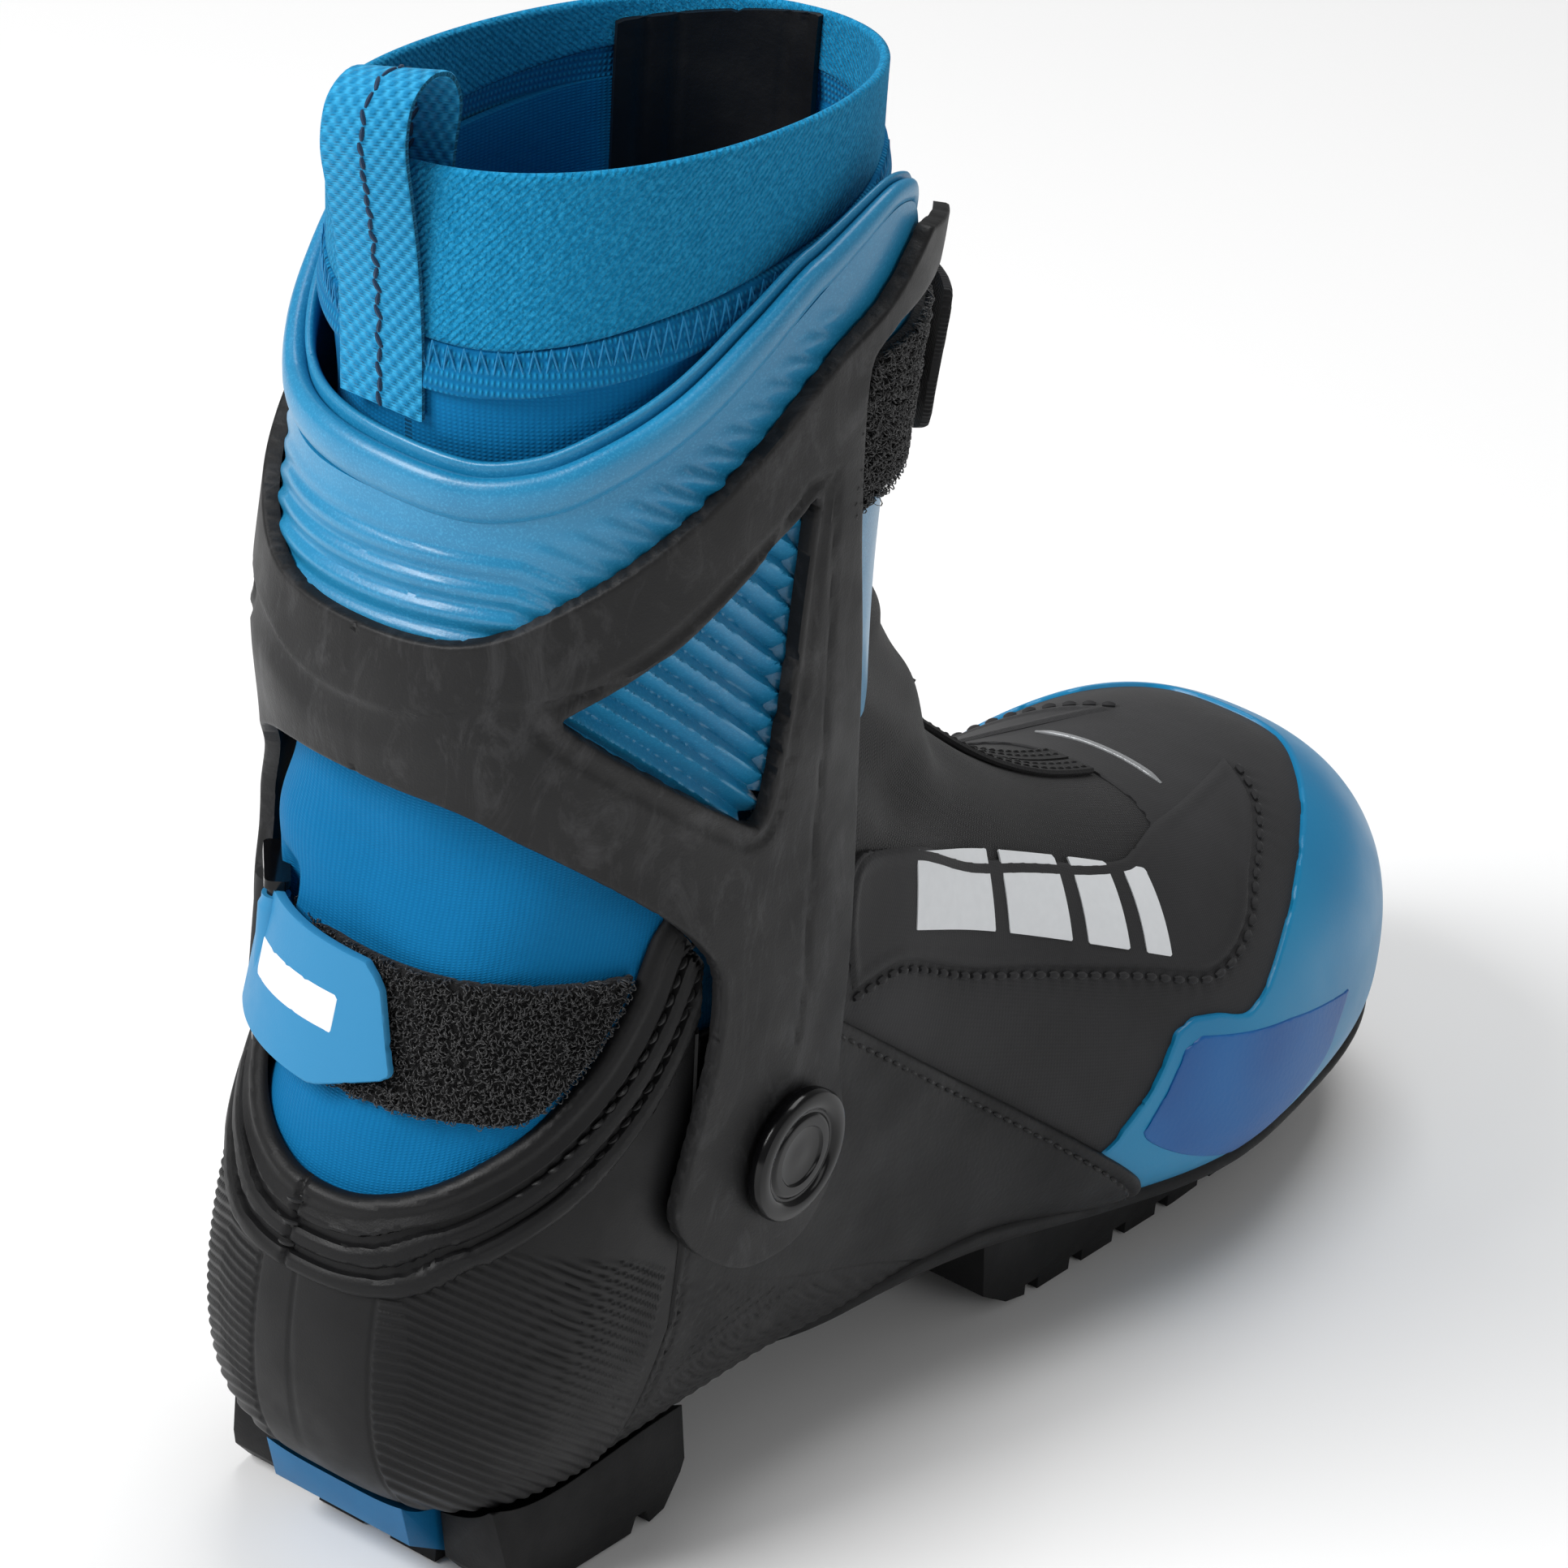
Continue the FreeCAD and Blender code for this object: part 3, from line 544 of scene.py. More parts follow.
class Soup:
    """Several closed meshes gathered into one piece."""

    def __init__(self):
        self.verts, self.faces, self.uv, self.count = [], [], [], 0

    def add(self, verts, faces, uv=None):
        self.verts.append(np.asarray(verts, float))
        self.faces.extend(tuple(i + self.count for i in f) for f in faces)
        self.uv.append(np.zeros((len(verts), 2)) if uv is None else np.asarray(uv, float))
        self.count += len(verts)

    def sweep(self, path, section, taper=None):
        """A section of (side, height) points carried along a path."""
        section = np.array(section, float)
        n = len(path.points)
        size = np.ones(n) if taper is None else taper
        ring = path.points[:, None] + path.side[:, None] * section[None, :, :1] * size[:, None, None] \
            + path.normal[:, None] * section[None, :, 1:] * size[:, None, None]
        uv = np.stack(np.broadcast_arrays(run_along(section)[None], path.run[:, None]), -1)
        self.add(ring.reshape(-1, 3), tube_faces(n, len(section)), uv.reshape(-1, 2))

    def capsule(self, a, b, normal, radius, lift=0.0, rings=6, sides=6):
        """One stitch: a round thread from a to b whose middle stands up by lift."""
        a, b, normal = (np.array(x, float) for x in (a, b, normal))
        t = (b - a) / (np.linalg.norm(b - a) + 1e-9)
        side = np.cross(t, normal)
        side /= np.linalg.norm(side) + 1e-9
        up = np.cross(side, t)
        verts = []
        for k in range(rings):
            s = k / (rings - 1)
            c = a + (b - a) * s + up * lift * math.sin(math.pi * s)
            r = radius * (0.25 + 0.75 * math.sin(math.pi * min(max(s, 0.04), 0.96)) ** 0.45)
            for m in range(sides):
                w = TAU * m / sides
                verts.append(c + (side * math.cos(w) + up * math.sin(w)) * r)
        self.add(verts, tube_faces(rings, sides))

    def build(self, name, material, sharp=50.0):
        return make_object(name, np.concatenate(self.verts), self.faces, material, np.concatenate(self.uv),
                           sharp)


def stitch_row(soup, path, length, gap, radius, lift=0.25, side=0.0, slant=0.0):
    """Stitches in a row along a path."""
    place = 0.0
    while place + length < path.length:
        ends = [path.pick(path.points, s) + path.pick(path.side, s) * (side + sign * slant)
                for s, sign in ((place, -1), (place + length, 1))]
        soup.capsule(*ends, path.pick(path.normal, place + length / 2), radius, lift)
        place += length + gap


# ---- materials ---------------------------------------------------------------------------
class Finish:
    """A procedural material. Weaves follow the mesh's lengths in millimetres; grain follows space."""

    def __init__(self, name, color, rough, metallic=0.0, sheen=0.0, coat=0.0, specular=0.25, sheen_rough=0.5,
                 sheen_tint=(1, 1, 1)):
        self.material = bpy.data.materials.new(name)
        self.material.use_nodes = True
        self.tree = self.material.node_tree
        self.shader = self.tree.nodes["Principled BSDF"]
        put = self.shader.inputs
        put["Base Color"].default_value = (*color, 1)
        put["Roughness"].default_value = rough
        put["Metallic"].default_value = metallic
        put["Specular IOR Level"].default_value = specular
        put["Sheen Weight"].default_value = sheen
        put["Sheen Roughness"].default_value = sheen_rough
        put["Sheen Tint"].default_value = (*sheen_tint, 1)
        put["Coat Weight"].default_value = coat
        put["Coat Roughness"].default_value = 0.15
        self.height = None

    def node(self, kind, **values):
        """A new node; i0, i1 and so on are its inputs by number, other keys are inputs or settings."""
        n = self.tree.nodes.new(kind)
        for key, value in values.items():
            place = int(key[1:]) if key[0] == "i" and key[1:].isdigit() else key
            if isinstance(value, bpy.types.NodeSocket):
                self.tree.links.new(value, n.inputs[place])
            elif place != key or key in n.inputs:
                n.inputs[place].default_value = value
            else:
                setattr(n, key, value)
        return n

    def math(self, operation, a, b=0.0, c=0.0):
        return self.node("ShaderNodeMath", operation=operation, i0=a, i1=b, i2=c).outputs[0]

    def space(self):
        return self.node("ShaderNodeTexCoord").outputs["Object"]

    def weave_axes(self):
        split = self.node("ShaderNodeSeparateXYZ", i0=self.node("ShaderNodeTexCoord").outputs["UV"])
        return split.outputs[0], split.outputs[1]

    def noise(self, size_mm, detail=3.0, rough=0.55, distortion=0.0, stretch=(1, 1, 1)):
        place = self.node("ShaderNodeMapping", Vector=self.space(), Scale=stretch).outputs[0]
        return self.node("ShaderNodeTexNoise", Vector=place, Scale=1000 / size_mm, Detail=detail,
                         Roughness=rough, Distortion=distortion).outputs[0]

    def cells(self, size_mm, feature="F1"):
        return self.node("ShaderNodeTexVoronoi", Vector=self.space(), Scale=1000 / size_mm,
                         feature=feature).outputs["Distance"]

    def wave(self, axis, pitch, phase=0.0):
        turn = self.math("MULTIPLY_ADD", axis, TAU / pitch, phase)
        return self.math("MULTIPLY_ADD", self.math("SINE", turn), 0.5, 0.5)

    def bump(self, height, depth_mm):
        """Adds a height from 0 to 1 that stands depth_mm tall."""
        normal = self.node("ShaderNodeBump", Height=height, Distance=depth_mm * MM, Strength=1.0)
        if self.height is not None:
            self.tree.links.new(self.height, normal.inputs["Normal"])
        self.height = normal.outputs[0]
        self.tree.links.new(self.height, self.shader.inputs["Normal"])
        return self

    def shade(self, factor, other, socket="Base Color"):
        """Mixes another colour in by a factor."""
        source = self.shader.inputs[socket]
        mix = self.node("ShaderNodeMix", data_type="RGBA")
        if source.links:
            self.tree.links.new(source.links[0].from_socket, mix.inputs[6])
        else:
            mix.inputs[6].default_value = source.default_value
        mix.inputs[7].default_value = (*other, 1)
        self.tree.links.new(factor, mix.inputs[0])
        self.tree.links.new(mix.outputs[2], source)
        return self

    def contrast(self, value, low, high, out_low=0.0, out_high=1.0):
        n = self.node("ShaderNodeMapRange", Value=value)
        for key, number in zip(("From Min", "From Max", "To Min", "To Max"), (low, high, out_low, out_high)):
            n.inputs[key].default_value = number
        return n.outputs[0]

    def vary_rough(self, factor, low, high):
        rough = self.contrast(factor, 0.3, 0.7, low, high)
        self.tree.links.new(rough, self.shader.inputs["Roughness"])
        return self


def make_finishes():
    f = {}

    def add(key, *args, **kw):
        f[key] = Finish(key, *args, **kw)
        return f[key]

    m = add("sole_rubber", (.008, .008, .0085), .6)
    m.bump(m.noise(.5), .05).vary_rough(m.noise(9), .52, .7)
    m = add("tread_rubber", (.006, .006, .0065), .62)
    m.bump(m.noise(.6), .06).vary_rough(m.noise(12), .55, .75)
    m = add("heel_plastic_blue", (.002, .10, .25), .42, specular=.35)
    m.bump(m.noise(.35), .03).shade(m.contrast(m.noise(14), .3, .8), (.003, .14, .32))
    m = add("block_plastic", (.008, .008, .0085), .48)
    m.bump(m.noise(.3), .03).vary_rough(m.noise(6), .4, .58)
    m = add("bar_steel", (.62, .62, .64), .3, metallic=1.0)
    m.bump(m.noise(.5, stretch=(1, .05, 1)), .02).vary_rough(m.noise(1.5, stretch=(1, .1, 1)), .22, .42)
    m = add("felt", (.02, .02, .022), .95, sheen=.3)
    m.bump(m.noise(.5, 6), .25).shade(m.noise(1.2), (.04, .04, .045))
    m = add("cup_plastic", (.0055, .0055, .006), .44, specular=.24)
    m.bump(m.noise(.35, 2), .035).vary_rough(m.noise(10), .4, .56)
    m = add("shell_leather", (.0045, .0045, .005), .42, specular=.22)
    m.bump(m.cells(.9, "SMOOTH_F1"), .05).bump(m.noise(.4), .03).vary_rough(m.noise(14), .38, .54)
    m = add("softshell", (.017, .017, .018), .66, sheen=.06)
    u, v = m.weave_axes()
    m.bump(m.math("MULTIPLY", m.wave(u, .55), m.wave(v, .55)), .035).bump(m.noise(7, 2), .12)
    m.shade(m.contrast(m.noise(22, 2), .3, .8), (.024, .024, .026))
    m = add("gaiter_weave", (.008, .008, .0085), .72, sheen=.1)
    u, v = m.weave_axes()
    turn = m.math("MULTIPLY_ADD", m.math("SINE", m.math("MULTIPLY", u, TAU / 2.2)), .35, v)
    twill = m.wave(m.math("ADD", turn, m.math("MULTIPLY", u, .35)), .72)
    m.bump(m.math("MULTIPLY", twill, m.wave(u, .42)), .16).shade(twill, (.018, .018, .019))
    m = add("azure_jersey", (.0006, .125, .31), .74, sheen=.08, sheen_tint=(.3, .75, 1), specular=.1)
    u, v = m.weave_axes()
    rib = m.wave(m.math("ADD", u, m.math("MULTIPLY", m.noise(6), .5)), .95)
    m.bump(m.math("MULTIPLY", rib, m.wave(v, .5)), .09).bump(m.noise(9, 2), .5)
    m.shade(m.math("MULTIPLY", rib, .55), (.001, .165, .38))
    m = add("azure_knit", (.0008, .155, .32), .86, sheen=.1, sheen_tint=(.4, .8, 1), specular=.1)
    u, v = m.weave_axes()
    fuzz = m.math("MULTIPLY", m.noise(.9, 4), 1.1)
    twill = m.wave(m.math("ADD", m.math("MULTIPLY_ADD", u, .8, v), fuzz), 1.05)
    m.bump(twill, .2).bump(m.noise(.5, 5), .2)
    m.shade(m.contrast(m.noise(.7, 4), .4, .7), (.02, .30, .55))
    m.shade(m.math("MULTIPLY", twill, .3), (.003, .24, .53))
    m = add("azure_hem", (.001, .12, .29), .85, sheen=.1, sheen_tint=(.4, .8, 1), specular=.1)
    u, v = m.weave_axes()
    rows = m.math("MULTIPLY", m.wave(v, 1.15), m.wave(u, .9))
    m.bump(rows, .3).shade(rows, (.01, .25, .50)).bump(m.noise(.5, 4), .1)
    m = add("azure_web", (.004, .19, .40), .7, sheen=.1, sheen_tint=(.4, .8, 1), specular=.15)
    u, v = m.weave_axes()
    across = m.math("SINE", m.math("MULTIPLY", u, TAU / 2.5))
    along = m.math("SINE", m.math("MULTIPLY", v, TAU / 3.1))
    basket = m.math("MULTIPLY_ADD", m.math("MULTIPLY", across, along), .5, .5)
    m.bump(basket, .5).bump(m.wave(v, .55), .08)
    m.shade(m.contrast(basket, .2, .9), (.03, .33, .60)).bump(m.noise(.4, 4), .06)
    m = add("lining", (.004, .075, .17), .85, sheen=.1)
    m.bump(m.noise(.6, 4), .2).shade(m.noise(4), (.006, .12, .25))
    m = add("foam_satin", (.006, .18, .36), .36, coat=.2, specular=.5)
    m.bump(m.noise(.5, 3), .05).vary_rough(m.noise(18), .32, .46)
    m.shade(m.contrast(m.noise(30, 3), .35, .75), (.012, .225, .43))
    # painted sparkle: fine lighter flecks in the base colour stand in for glints on the satin foam
    m.shade(m.contrast(m.noise(.4, 2), .5, .75), (.03, .28, .50))
    m = add("cuff_plastic", (.009, .009, .0095), .48, specular=.26)
    m.bump(m.noise(.45, 3), .06).vary_rough(m.noise(16), .42, .6)
    m.shade(m.contrast(m.noise(12, 9, .75, 2.0, (1, 1, .45)), .50, .78), (.045, .045, .047))
    m = add("gloss_plastic", (.003, .003, .0035), .16, coat=.12, specular=.22)
    m.bump(m.noise(3), .01).vary_rough(m.noise(5), .1, .22)
    m = add("loop_pile", (.004, .004, .0045), .9, sheen=.1)
    m.bump(m.noise(.6, 6), .5).shade(m.contrast(m.noise(.7, 3), .5, .8), (.014, .014, .015))
    m = add("fibre", (.02, .02, .021), .34, sheen=.1, specular=.6)
    m.vary_rough(m.noise(.5), .26, .46)
    m = add("strap_web", (.006, .006, .0065), .8, sheen=.1)
    u, v = m.weave_axes()
    m.bump(m.math("MULTIPLY", m.wave(u, .8), m.wave(v, .8)), .2).shade(m.noise(2.5), (.011, .011, .012))
    m = add("tab_film", (.03, .22, .43), .46)
    m.bump(m.noise(.4), .03).vary_rough(m.noise(7), .4, .54)
    m = add("print_white", (.80, .82, .84), .5)
    m.bump(m.noise(.5), .02).shade(m.noise(2), (.72, .74, .76))
    m = add("band_film", (.002, .19, .40), .36, specular=.4)
    m.bump(m.noise(.6), .02).vary_rough(m.noise(20), .3, .42)
    m.shade(m.contrast(m.noise(45, 1), .35, .7), (.004, .235, .46))
    m = add("band_dark_film", (.001, .085, .31), .4, specular=.4)
    m.bump(m.cells(1.1), .03).shade(m.contrast(m.noise(30, 1), .35, .7), (.002, .125, .39))
    m = add("panel_film", (.005, .005, .0055), .46, specular=.3)
    m.bump(m.noise(.7), .05).bump(m.noise(8, 2), .3).vary_rough(m.noise(9), .38, .54)
    m = add("reflector", (.30, .31, .32), .35, metallic=.4)
    m.bump(m.cells(.5), .03).shade(m.noise(1), (.38, .39, .40))
    m = add("zip_tape", (.006, .006, .0065), .75, sheen=.06)
    m.bump(m.noise(.5, 4), .12).shade(m.noise(1.5), (.013, .013, .014))
    m = add("zip_paint", (.008, .008, .0085), .3, metallic=.3)
    m.bump(m.noise(.6), .02).vary_rough(m.noise(2), .24, .4)
    m = add("thread_black", (.006, .006, .0065), .5, sheen=.1)
    m.bump(m.noise(.25, stretch=(1, 1, .3)), .05).vary_rough(m.noise(.8), .4, .6)
    m = add("thread_navy", (.008, .03, .07), .6, sheen=.1)
    m.bump(m.noise(.25), .05).vary_rough(m.noise(.8), .5, .7)
    m = add("thread_blue", (.008, .20, .42), .55, sheen=.1)
    m.bump(m.noise(.25), .05).vary_rough(m.noise(.8), .45, .7)
    return {key: one.material for key, one in f.items()}


FINISH = make_finishes()


def keep(obj, body, slot_name, *nodes):
    """Puts a piece on a body, in the place of CAD nodes; slot_name is not used."""
    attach(obj, body)
    if nodes:
        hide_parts(*nodes)


def fine(step):
    return step


def ripple(points, directions):
    """Low smooth waves: a sum of sines, as (x, y, z wave numbers in 1/mm, height)."""
    total = np.zeros(len(points))
    for k, (kx, ky, kz, height) in enumerate(directions):
        total += height * np.sin(points @ np.array([kx, ky, kz]) + 1.7 * k)
    return total


LUMPS = [(.11, .05, .13, .22), (-.07, .12, .19, .18), (.19, -.08, .06, .14), (.05, .21, -.11, .12)]


# ---- sole --------------------------------------------------------------------------------
SOLE_TOP = [(-30, 18), (40, 18), (70, 18), (90, 19), (112, 26), (136, 28.5), (160, 25), (184, 20), (220, 21),
            (262, 24), (320, 30)]


def make_sole():
    p = Patch(FOOT, (0.02, 13.0), (math.pi - 2.1, math.pi + 2.1), 1.5)
    region = np.concatenate([smooth(SOLE_TOP, False), [(320, -30), (-30, -30)]])
    p.trim(side_view(region))
    d = p.edge_rings((.3, .8, 1.6, 2.6))
    outer = .4 + round_edge(d, 1.8, 3.0)
    keep(shell("outsole_skin", p, outer, .2, FINISH["sole_rubber"]), "boot", "sole_black", "outsole")


# ---- heel --------------------------------------------------------------------------------
RIM_LINE = [(-30, 77), (-8, 77), (-2, 77), (3, 81), (10, 87), (18, 94), (27, 104), (33, 114), (37, 124),
            (40, 128)]
CUP_FRONT = [(46, 118), (46, 50), (38, 24), (35, 17)]
# depth below the rim's top edge, and the height of the piping, grooves and rolls there
RIM_PROFILE = [(0, .8), (.4, 1.7), (1.1, 2.4), (2.2, 2.8), (3.2, 2.55), (3.7, 2.7), (5.0, 3.2), (5.4, 3.0),
               (5.7, 2.1), (6.7, 2.1), (7.0, 3.2), (7.8, 3.6), (9.1, 3.7), (9.6, 3.3), (9.9, 2.4),
               (10.9, 2.4), (11.2, 3.4), (12.0, 3.85), (13.2, 3.85), (13.9, 3.4), (14.4, 2.4)]
RIM_DEPTH = 14.4
RIM_STITCH_ROWS = (6.2, 10.4)
RIB_SLOPE = .68


def slanted(pts, start):
    """Height plus the part of the length that carries ribs down towards the toe."""
    return pts[:, 2] + RIB_SLOPE * np.maximum(pts[:, 0] - start, 0)


def ribbing(s, pitch):
    """Ribs with a slow rise and a quick fall, from 0 to 1."""
    t = (s / pitch) % 1.0
    return ramp(t, 0, .62) * (1 - ramp(t, .72, 1.0))


def to_the_right(line, distance):
    """The line moved to its right hand side."""
    t = np.gradient(line, axis=0)
    t /= np.linalg.norm(t, axis=1, keepdims=True)
    return line + np.stack([t[:, 1], -t[:, 0]], 1) * distance


def make_heel():
    region = np.concatenate([smooth(RIM_LINE, False), CUP_FRONT, [(35, -20), (-30, -20)]])
    p = Patch(FOOT, (9.2, 15.6), (math.pi - 2.3, math.pi + 2.3), fine(0.42))
    p.trim(side_view(region))
    below_rim = [(60, 128), (60, -60), (-60, -60), (-60, 77)]
    top_field = side_view(np.concatenate([smooth(RIM_LINE, False), below_rim]))
    p.trim(top_field, 12.0)
    d = p.edge_rings((.3, .8))
    pts = p.points()
    x, y, z = pts.T
    outer = .4 + round_edge(d, .8, 2.1)
    front = np.interp(z, [15, 20, 62, 80], [37, 38, 44, 46]) - x
    below = np.interp(x, [0, 10, 21, 34, 44], [76, 75, 72, 68, 62]) - z
    strip = np.abs(y + 2.4) - np.interp(z, [20, 80], [12.4, 10.4])
    ribbed = ramp(front, .4, 1.6) * ramp(below, .2, 1.6) * ramp(strip, 0, .8)
    outer = outer + .42 * ribbed * ribbing(slanted(pts, 2.0), 2.0) - .1 * ribbed
    outer = outer - .25 * np.exp(-(np.abs(strip) / .35) ** 2) - .3 * np.exp(-((y - 1.0) / .4) ** 2) * (x < 12)
    keep(shell("heel_cup_skin", p, outer, .3, FINISH["cup_plastic"], 60), "boot", "cup_black", "heel_cup")

    p = Patch(FOOT, (9.2, 15.6), (math.pi - 2.3, math.pi + 2.3), 0.9)
    p.trim(side_view(region))
    p.trim(lambda uv, pts: -top_field(uv, pts), -RIM_DEPTH)
    depth = p.rings(p.field(top_field), [level for level, _ in RIM_PROFILE[1:-1]])
    outer = np.interp(depth, *zip(*RIM_PROFILE))
    pts = p.points()
    outer = np.minimum(outer, .5 + 4.0 * np.sqrt(np.clip((46.5 - pts[:, 0]) / 1.5, 0, 1)))
    outer = outer - .8 * np.exp(-((pts[:, 1] - 3.0) / .5) ** 2) * (pts[:, 0] < 12)
    keep(shell("heel_rim", p, outer, .3, FINISH["cup_plastic"], 38), "boot", "cup_black", "heel_cup_rim")

    # two rows of stitches in the rim's grooves, and three across its rear seam
    soup = Soup()
    line = smooth(RIM_LINE[2:], False)
    for offset in RIM_STITCH_ROWS:
        low = to_the_right(line, offset)
        low = low[(low[:, 0] < 45.5)]
        lateral = locate(FOOT, low[::3], 0.0)
        medial = locate(FOOT, low[::3], math.pi)
        full = np.concatenate([lateral[::-1], medial])
        apart = np.r_[True, np.linalg.norm(np.diff(full, axis=0) * SCALE, axis=1) > .8]
        path = Path(FOOT, smooth(full[apart] * SCALE, False) / SCALE, 2.6, 1.0)
        stitch_row(soup, path, 2.2, 1.1, .42, .35, 0, .22)
    for z in (75.0, 71.0, 67.2):
        ends = [(-2, 4.6, z), (-2, 1.4, z + .5)]
        across = Path(FOOT, skin_line(FOOT, ends, v_low=math.pi / 2, steps=2), 3.5, .5)
        soup.capsule(across.points[0], across.points[-1], across.normal[0], .4, .5)
    keep(soup.build("heel_rim_stitches", FINISH["thread_black"]), "boot", "cup_black")


# ---- side shells -------------------------------------------------------------------------
SIDE_TOP = [(46.6, 104), (58, 103), (70, 100), (82, 95), (94, 87), (121, 68), (144, 52), (165, 37), (178, 27),
            (185, 19.5), (188, 17)]
BAND_LINE = [(46, 57), (55, 55), (79, 44.6), (105, 36), (134.5, 24.8), (150, 19)]


def v_start(side):
    """Where the outer side (-1) or the inner side (+1) begins on its way round a section."""
    return 0.0 if side < 0 else math.pi


def side_patch(surface, u, side, low, high, step):
    v = (low, high) if side < 0 else (TAU - high, TAU - low)
    return Patch(surface, u, v, step)


def make_side_shells():
    region = np.concatenate([smooth(SIDE_TOP, False), [(190, 0), (30, 0), (36, 18), (38.8, 24), (46.6, 50)]])
    band = np.concatenate([smooth(BAND_LINE, False), [(200, 0), (20, -20), (20, 57)]])
    for side, name in SIDES:
        p = side_patch(FOOT, (6.0, 14.6), side, .75, 3.0, fine(0.85))
        p.trim(side_view(region))
        p.rings(p.field(side_view(band)), [0, .5, 1.0])
        d = p.edge_rings((.25, .7, 1.3, 2.2, 3.2))
        low = p.field(side_view(band))
        pts = p.points()
        x, z = pts[:, 0], pts[:, 2]
        outer = .4 + round_edge(d, 1.2, 1.6)
        outer = outer - .35 * np.exp(-((d - 2.6) / .5) ** 2) - .35 * ramp(low, 0, .6)
        ribs = ribbing(z + RIB_SLOPE * x, 2.6) * ramp(low, 1.0, 2.0) * ramp(130 - x, 0, 20)
        outer = outer + ripple(pts, LUMPS) * .5 * ramp(d, 1, 6) + .3 * ribs
        piece = shell(name + "_shell_skin", p, outer, .25, FINISH["shell_leather"])
        keep(piece, "boot", "shell_black", name + "_shell")
        soup = Soup()
        low_edge = to_the_right(smooth(SIDE_TOP[3:-1], False, steps=3), 2.6)
        line = skin_line(FOOT, low_edge, v_low=v_start(side))
        stitch_row(soup, Path(FOOT, line, 1.72, 1.0), 2.4, 1.0, .36, .22)
        keep(soup.build(name + "_shell_stitches", FINISH["thread_black"]), "boot", "shell_black")


# ---- upper -------------------------------------------------------------------------------
VAMP_TOP = [(-30, 62), (60, 62), (72, 86), (86, 106), (96, 113), (104, 114), (122, 106), (142, 97), (166, 88),
            (186, 82), (199, 80.5), (206, 83), (209, 90), (210, 110)]
TOE_BORDER = [(268, 5, 70), (266.5, -8, 69), (257, -19, 69), (248, -27, 68.5), (239, -33, 66.5),
              (221, -43, 60), (211, -47, 54.5), (204, -48, 52), (196, -47, 54.5), (189, -46, 56),
              (184, -45.5, 54.6), (178, -45, 45.7), (171.6, -44, 39.4), (165.5, -43, 35.3), (160, -42, 30)]
INSET = [(185.5, 51), (190, 52.3), (217, 46.5), (243, 41), (234, 31), (206, 22.5), (175.5, 37), (181, 44.5)]
QUARTER_LOW = [(96, 92), (111, 91.5), (135, 81), (157, 74), (177, 68), (190, 63.5), (196, 62), (204, 63),
               (212, 66), (219, 69)]
QUARTER_FRONT = [(219, 35, 69), (228, 30, 72), (237, 22, 73), (243, 12, 75)]
QUARTER_TOP = [(206, 22, 80), (193, 26, 81), (186, 28, 82), (166, 26, 88), (142, 25, 97), (110, 28, 112),
               (98, 29, 112)]


def make_upper():
    top = np.concatenate([smooth(VAMP_TOP, False), [(340, 110), (340, -20), (-30, -20)]])
    p = Patch(FOOT, (0.02, 14.2), (-2.35, 2.35), 1.3)
    p.trim(side_view(top))
    d = p.edge_rings((.3, .9))
    pts = p.points()
    outer = -.25 + round_edge(d, .5, .25) + ripple(pts, LUMPS) * .35 * ramp(d, 1, 6)
    piece = shell("forefoot_softshell", p, outer, -1.6, FINISH["softshell"])
    keep(piece, "boot", "softshell", "softshell_vamp")

    # film band round the toe
    lateral = locate(FOOT, TOE_BORDER)
    line = smooth(lateral * SCALE, False, (6, 9, 10, 13)) / SCALE
    mirror = line[::-1] * np.array([1, -1])
    border = np.concatenate([mirror, line[1:]])
    area = np.concatenate([border, [(line[-1, 0], 2.6), (-.5, 2.6), (-.5, -2.6), (line[-1, 0], -2.6)]])
    p = Patch(FOOT, (0.02, 8.2), (-2.3, 2.3), fine(0.9))
    p.trim(uv_field(area))
    d = p.edge_rings((.25, .7, 1.2))
    outer = .15 + round_edge(d, .7, .7)
    keep(shell("toe_film_band", p, outer, -.1, FINISH["band_film"]), "boot", "band_blue", "toe_band")

    for side, name in SIDES:
        line = skin_line(FOOT, INSET, True, range(len(INSET)), v_start(side))
        p = side_patch(FOOT, (2.8, 8.2), side, .7, 2.3, 0.8)
        p.trim(uv_field(line))
        outer = .8 + round_edge(p.edge_rings((.25, .6)), .5, .35)
        piece = shell("toe_inset_" + name + "_film", p, outer, .5, FINISH["band_dark_film"])
        keep(piece, "boot", "band_dark_blue", "toe_inset_" + name)

    make_quarters()
    make_quarter_marks()
    make_zip_and_strip()


def locate_on(side, targets):
    """(u, v) of points (x, distance from the middle, z), with v as the side patches count it."""
    found = locate(FOOT, [(x, side * y, z) for x, y, z in targets])
    if side > 0:
        found[:, 1] = np.where(found[:, 1] < 0, found[:, 1] + TAU, found[:, 1])
    return found


def make_quarters():
    for side, name in SIDES:
        low = locate(FOOT, QUARTER_LOW, v_start(side))
        high = locate_on(side, QUARTER_TOP)
        border = np.concatenate([low[:-1], locate_on(side, QUARTER_FRONT)])
        line = smooth(np.concatenate([border, high]) * SCALE, True, (0, len(border) - 1)) / SCALE
        p = side_patch(FOOT, (3.5, 12.5), side, .05, 1.6, 1.1)
        p.trim(uv_field(line))
        d = p.edge_rings((.3, .9, 2.0, 3.2))
        outer = .02 + .55 * ramp(d, 0, .9) - .35 * ramp(d, 1.6, 3.4)
        piece = shell("quarter_film_" + name, p, outer, -.4, FINISH["softshell"])
        keep(piece, "boot", "softshell", "quarter_overlay_" + name)
        soup = Soup()
        path = Path(FOOT, smooth(border * SCALE, False) / SCALE, .35, .8)
        stitch_row(soup, path, 2.5, 1.2, .75, .12, -1.4 * side)
        keep(soup.build("quarter_bubbles_" + name, FINISH["softshell"]), "boot", "softshell")


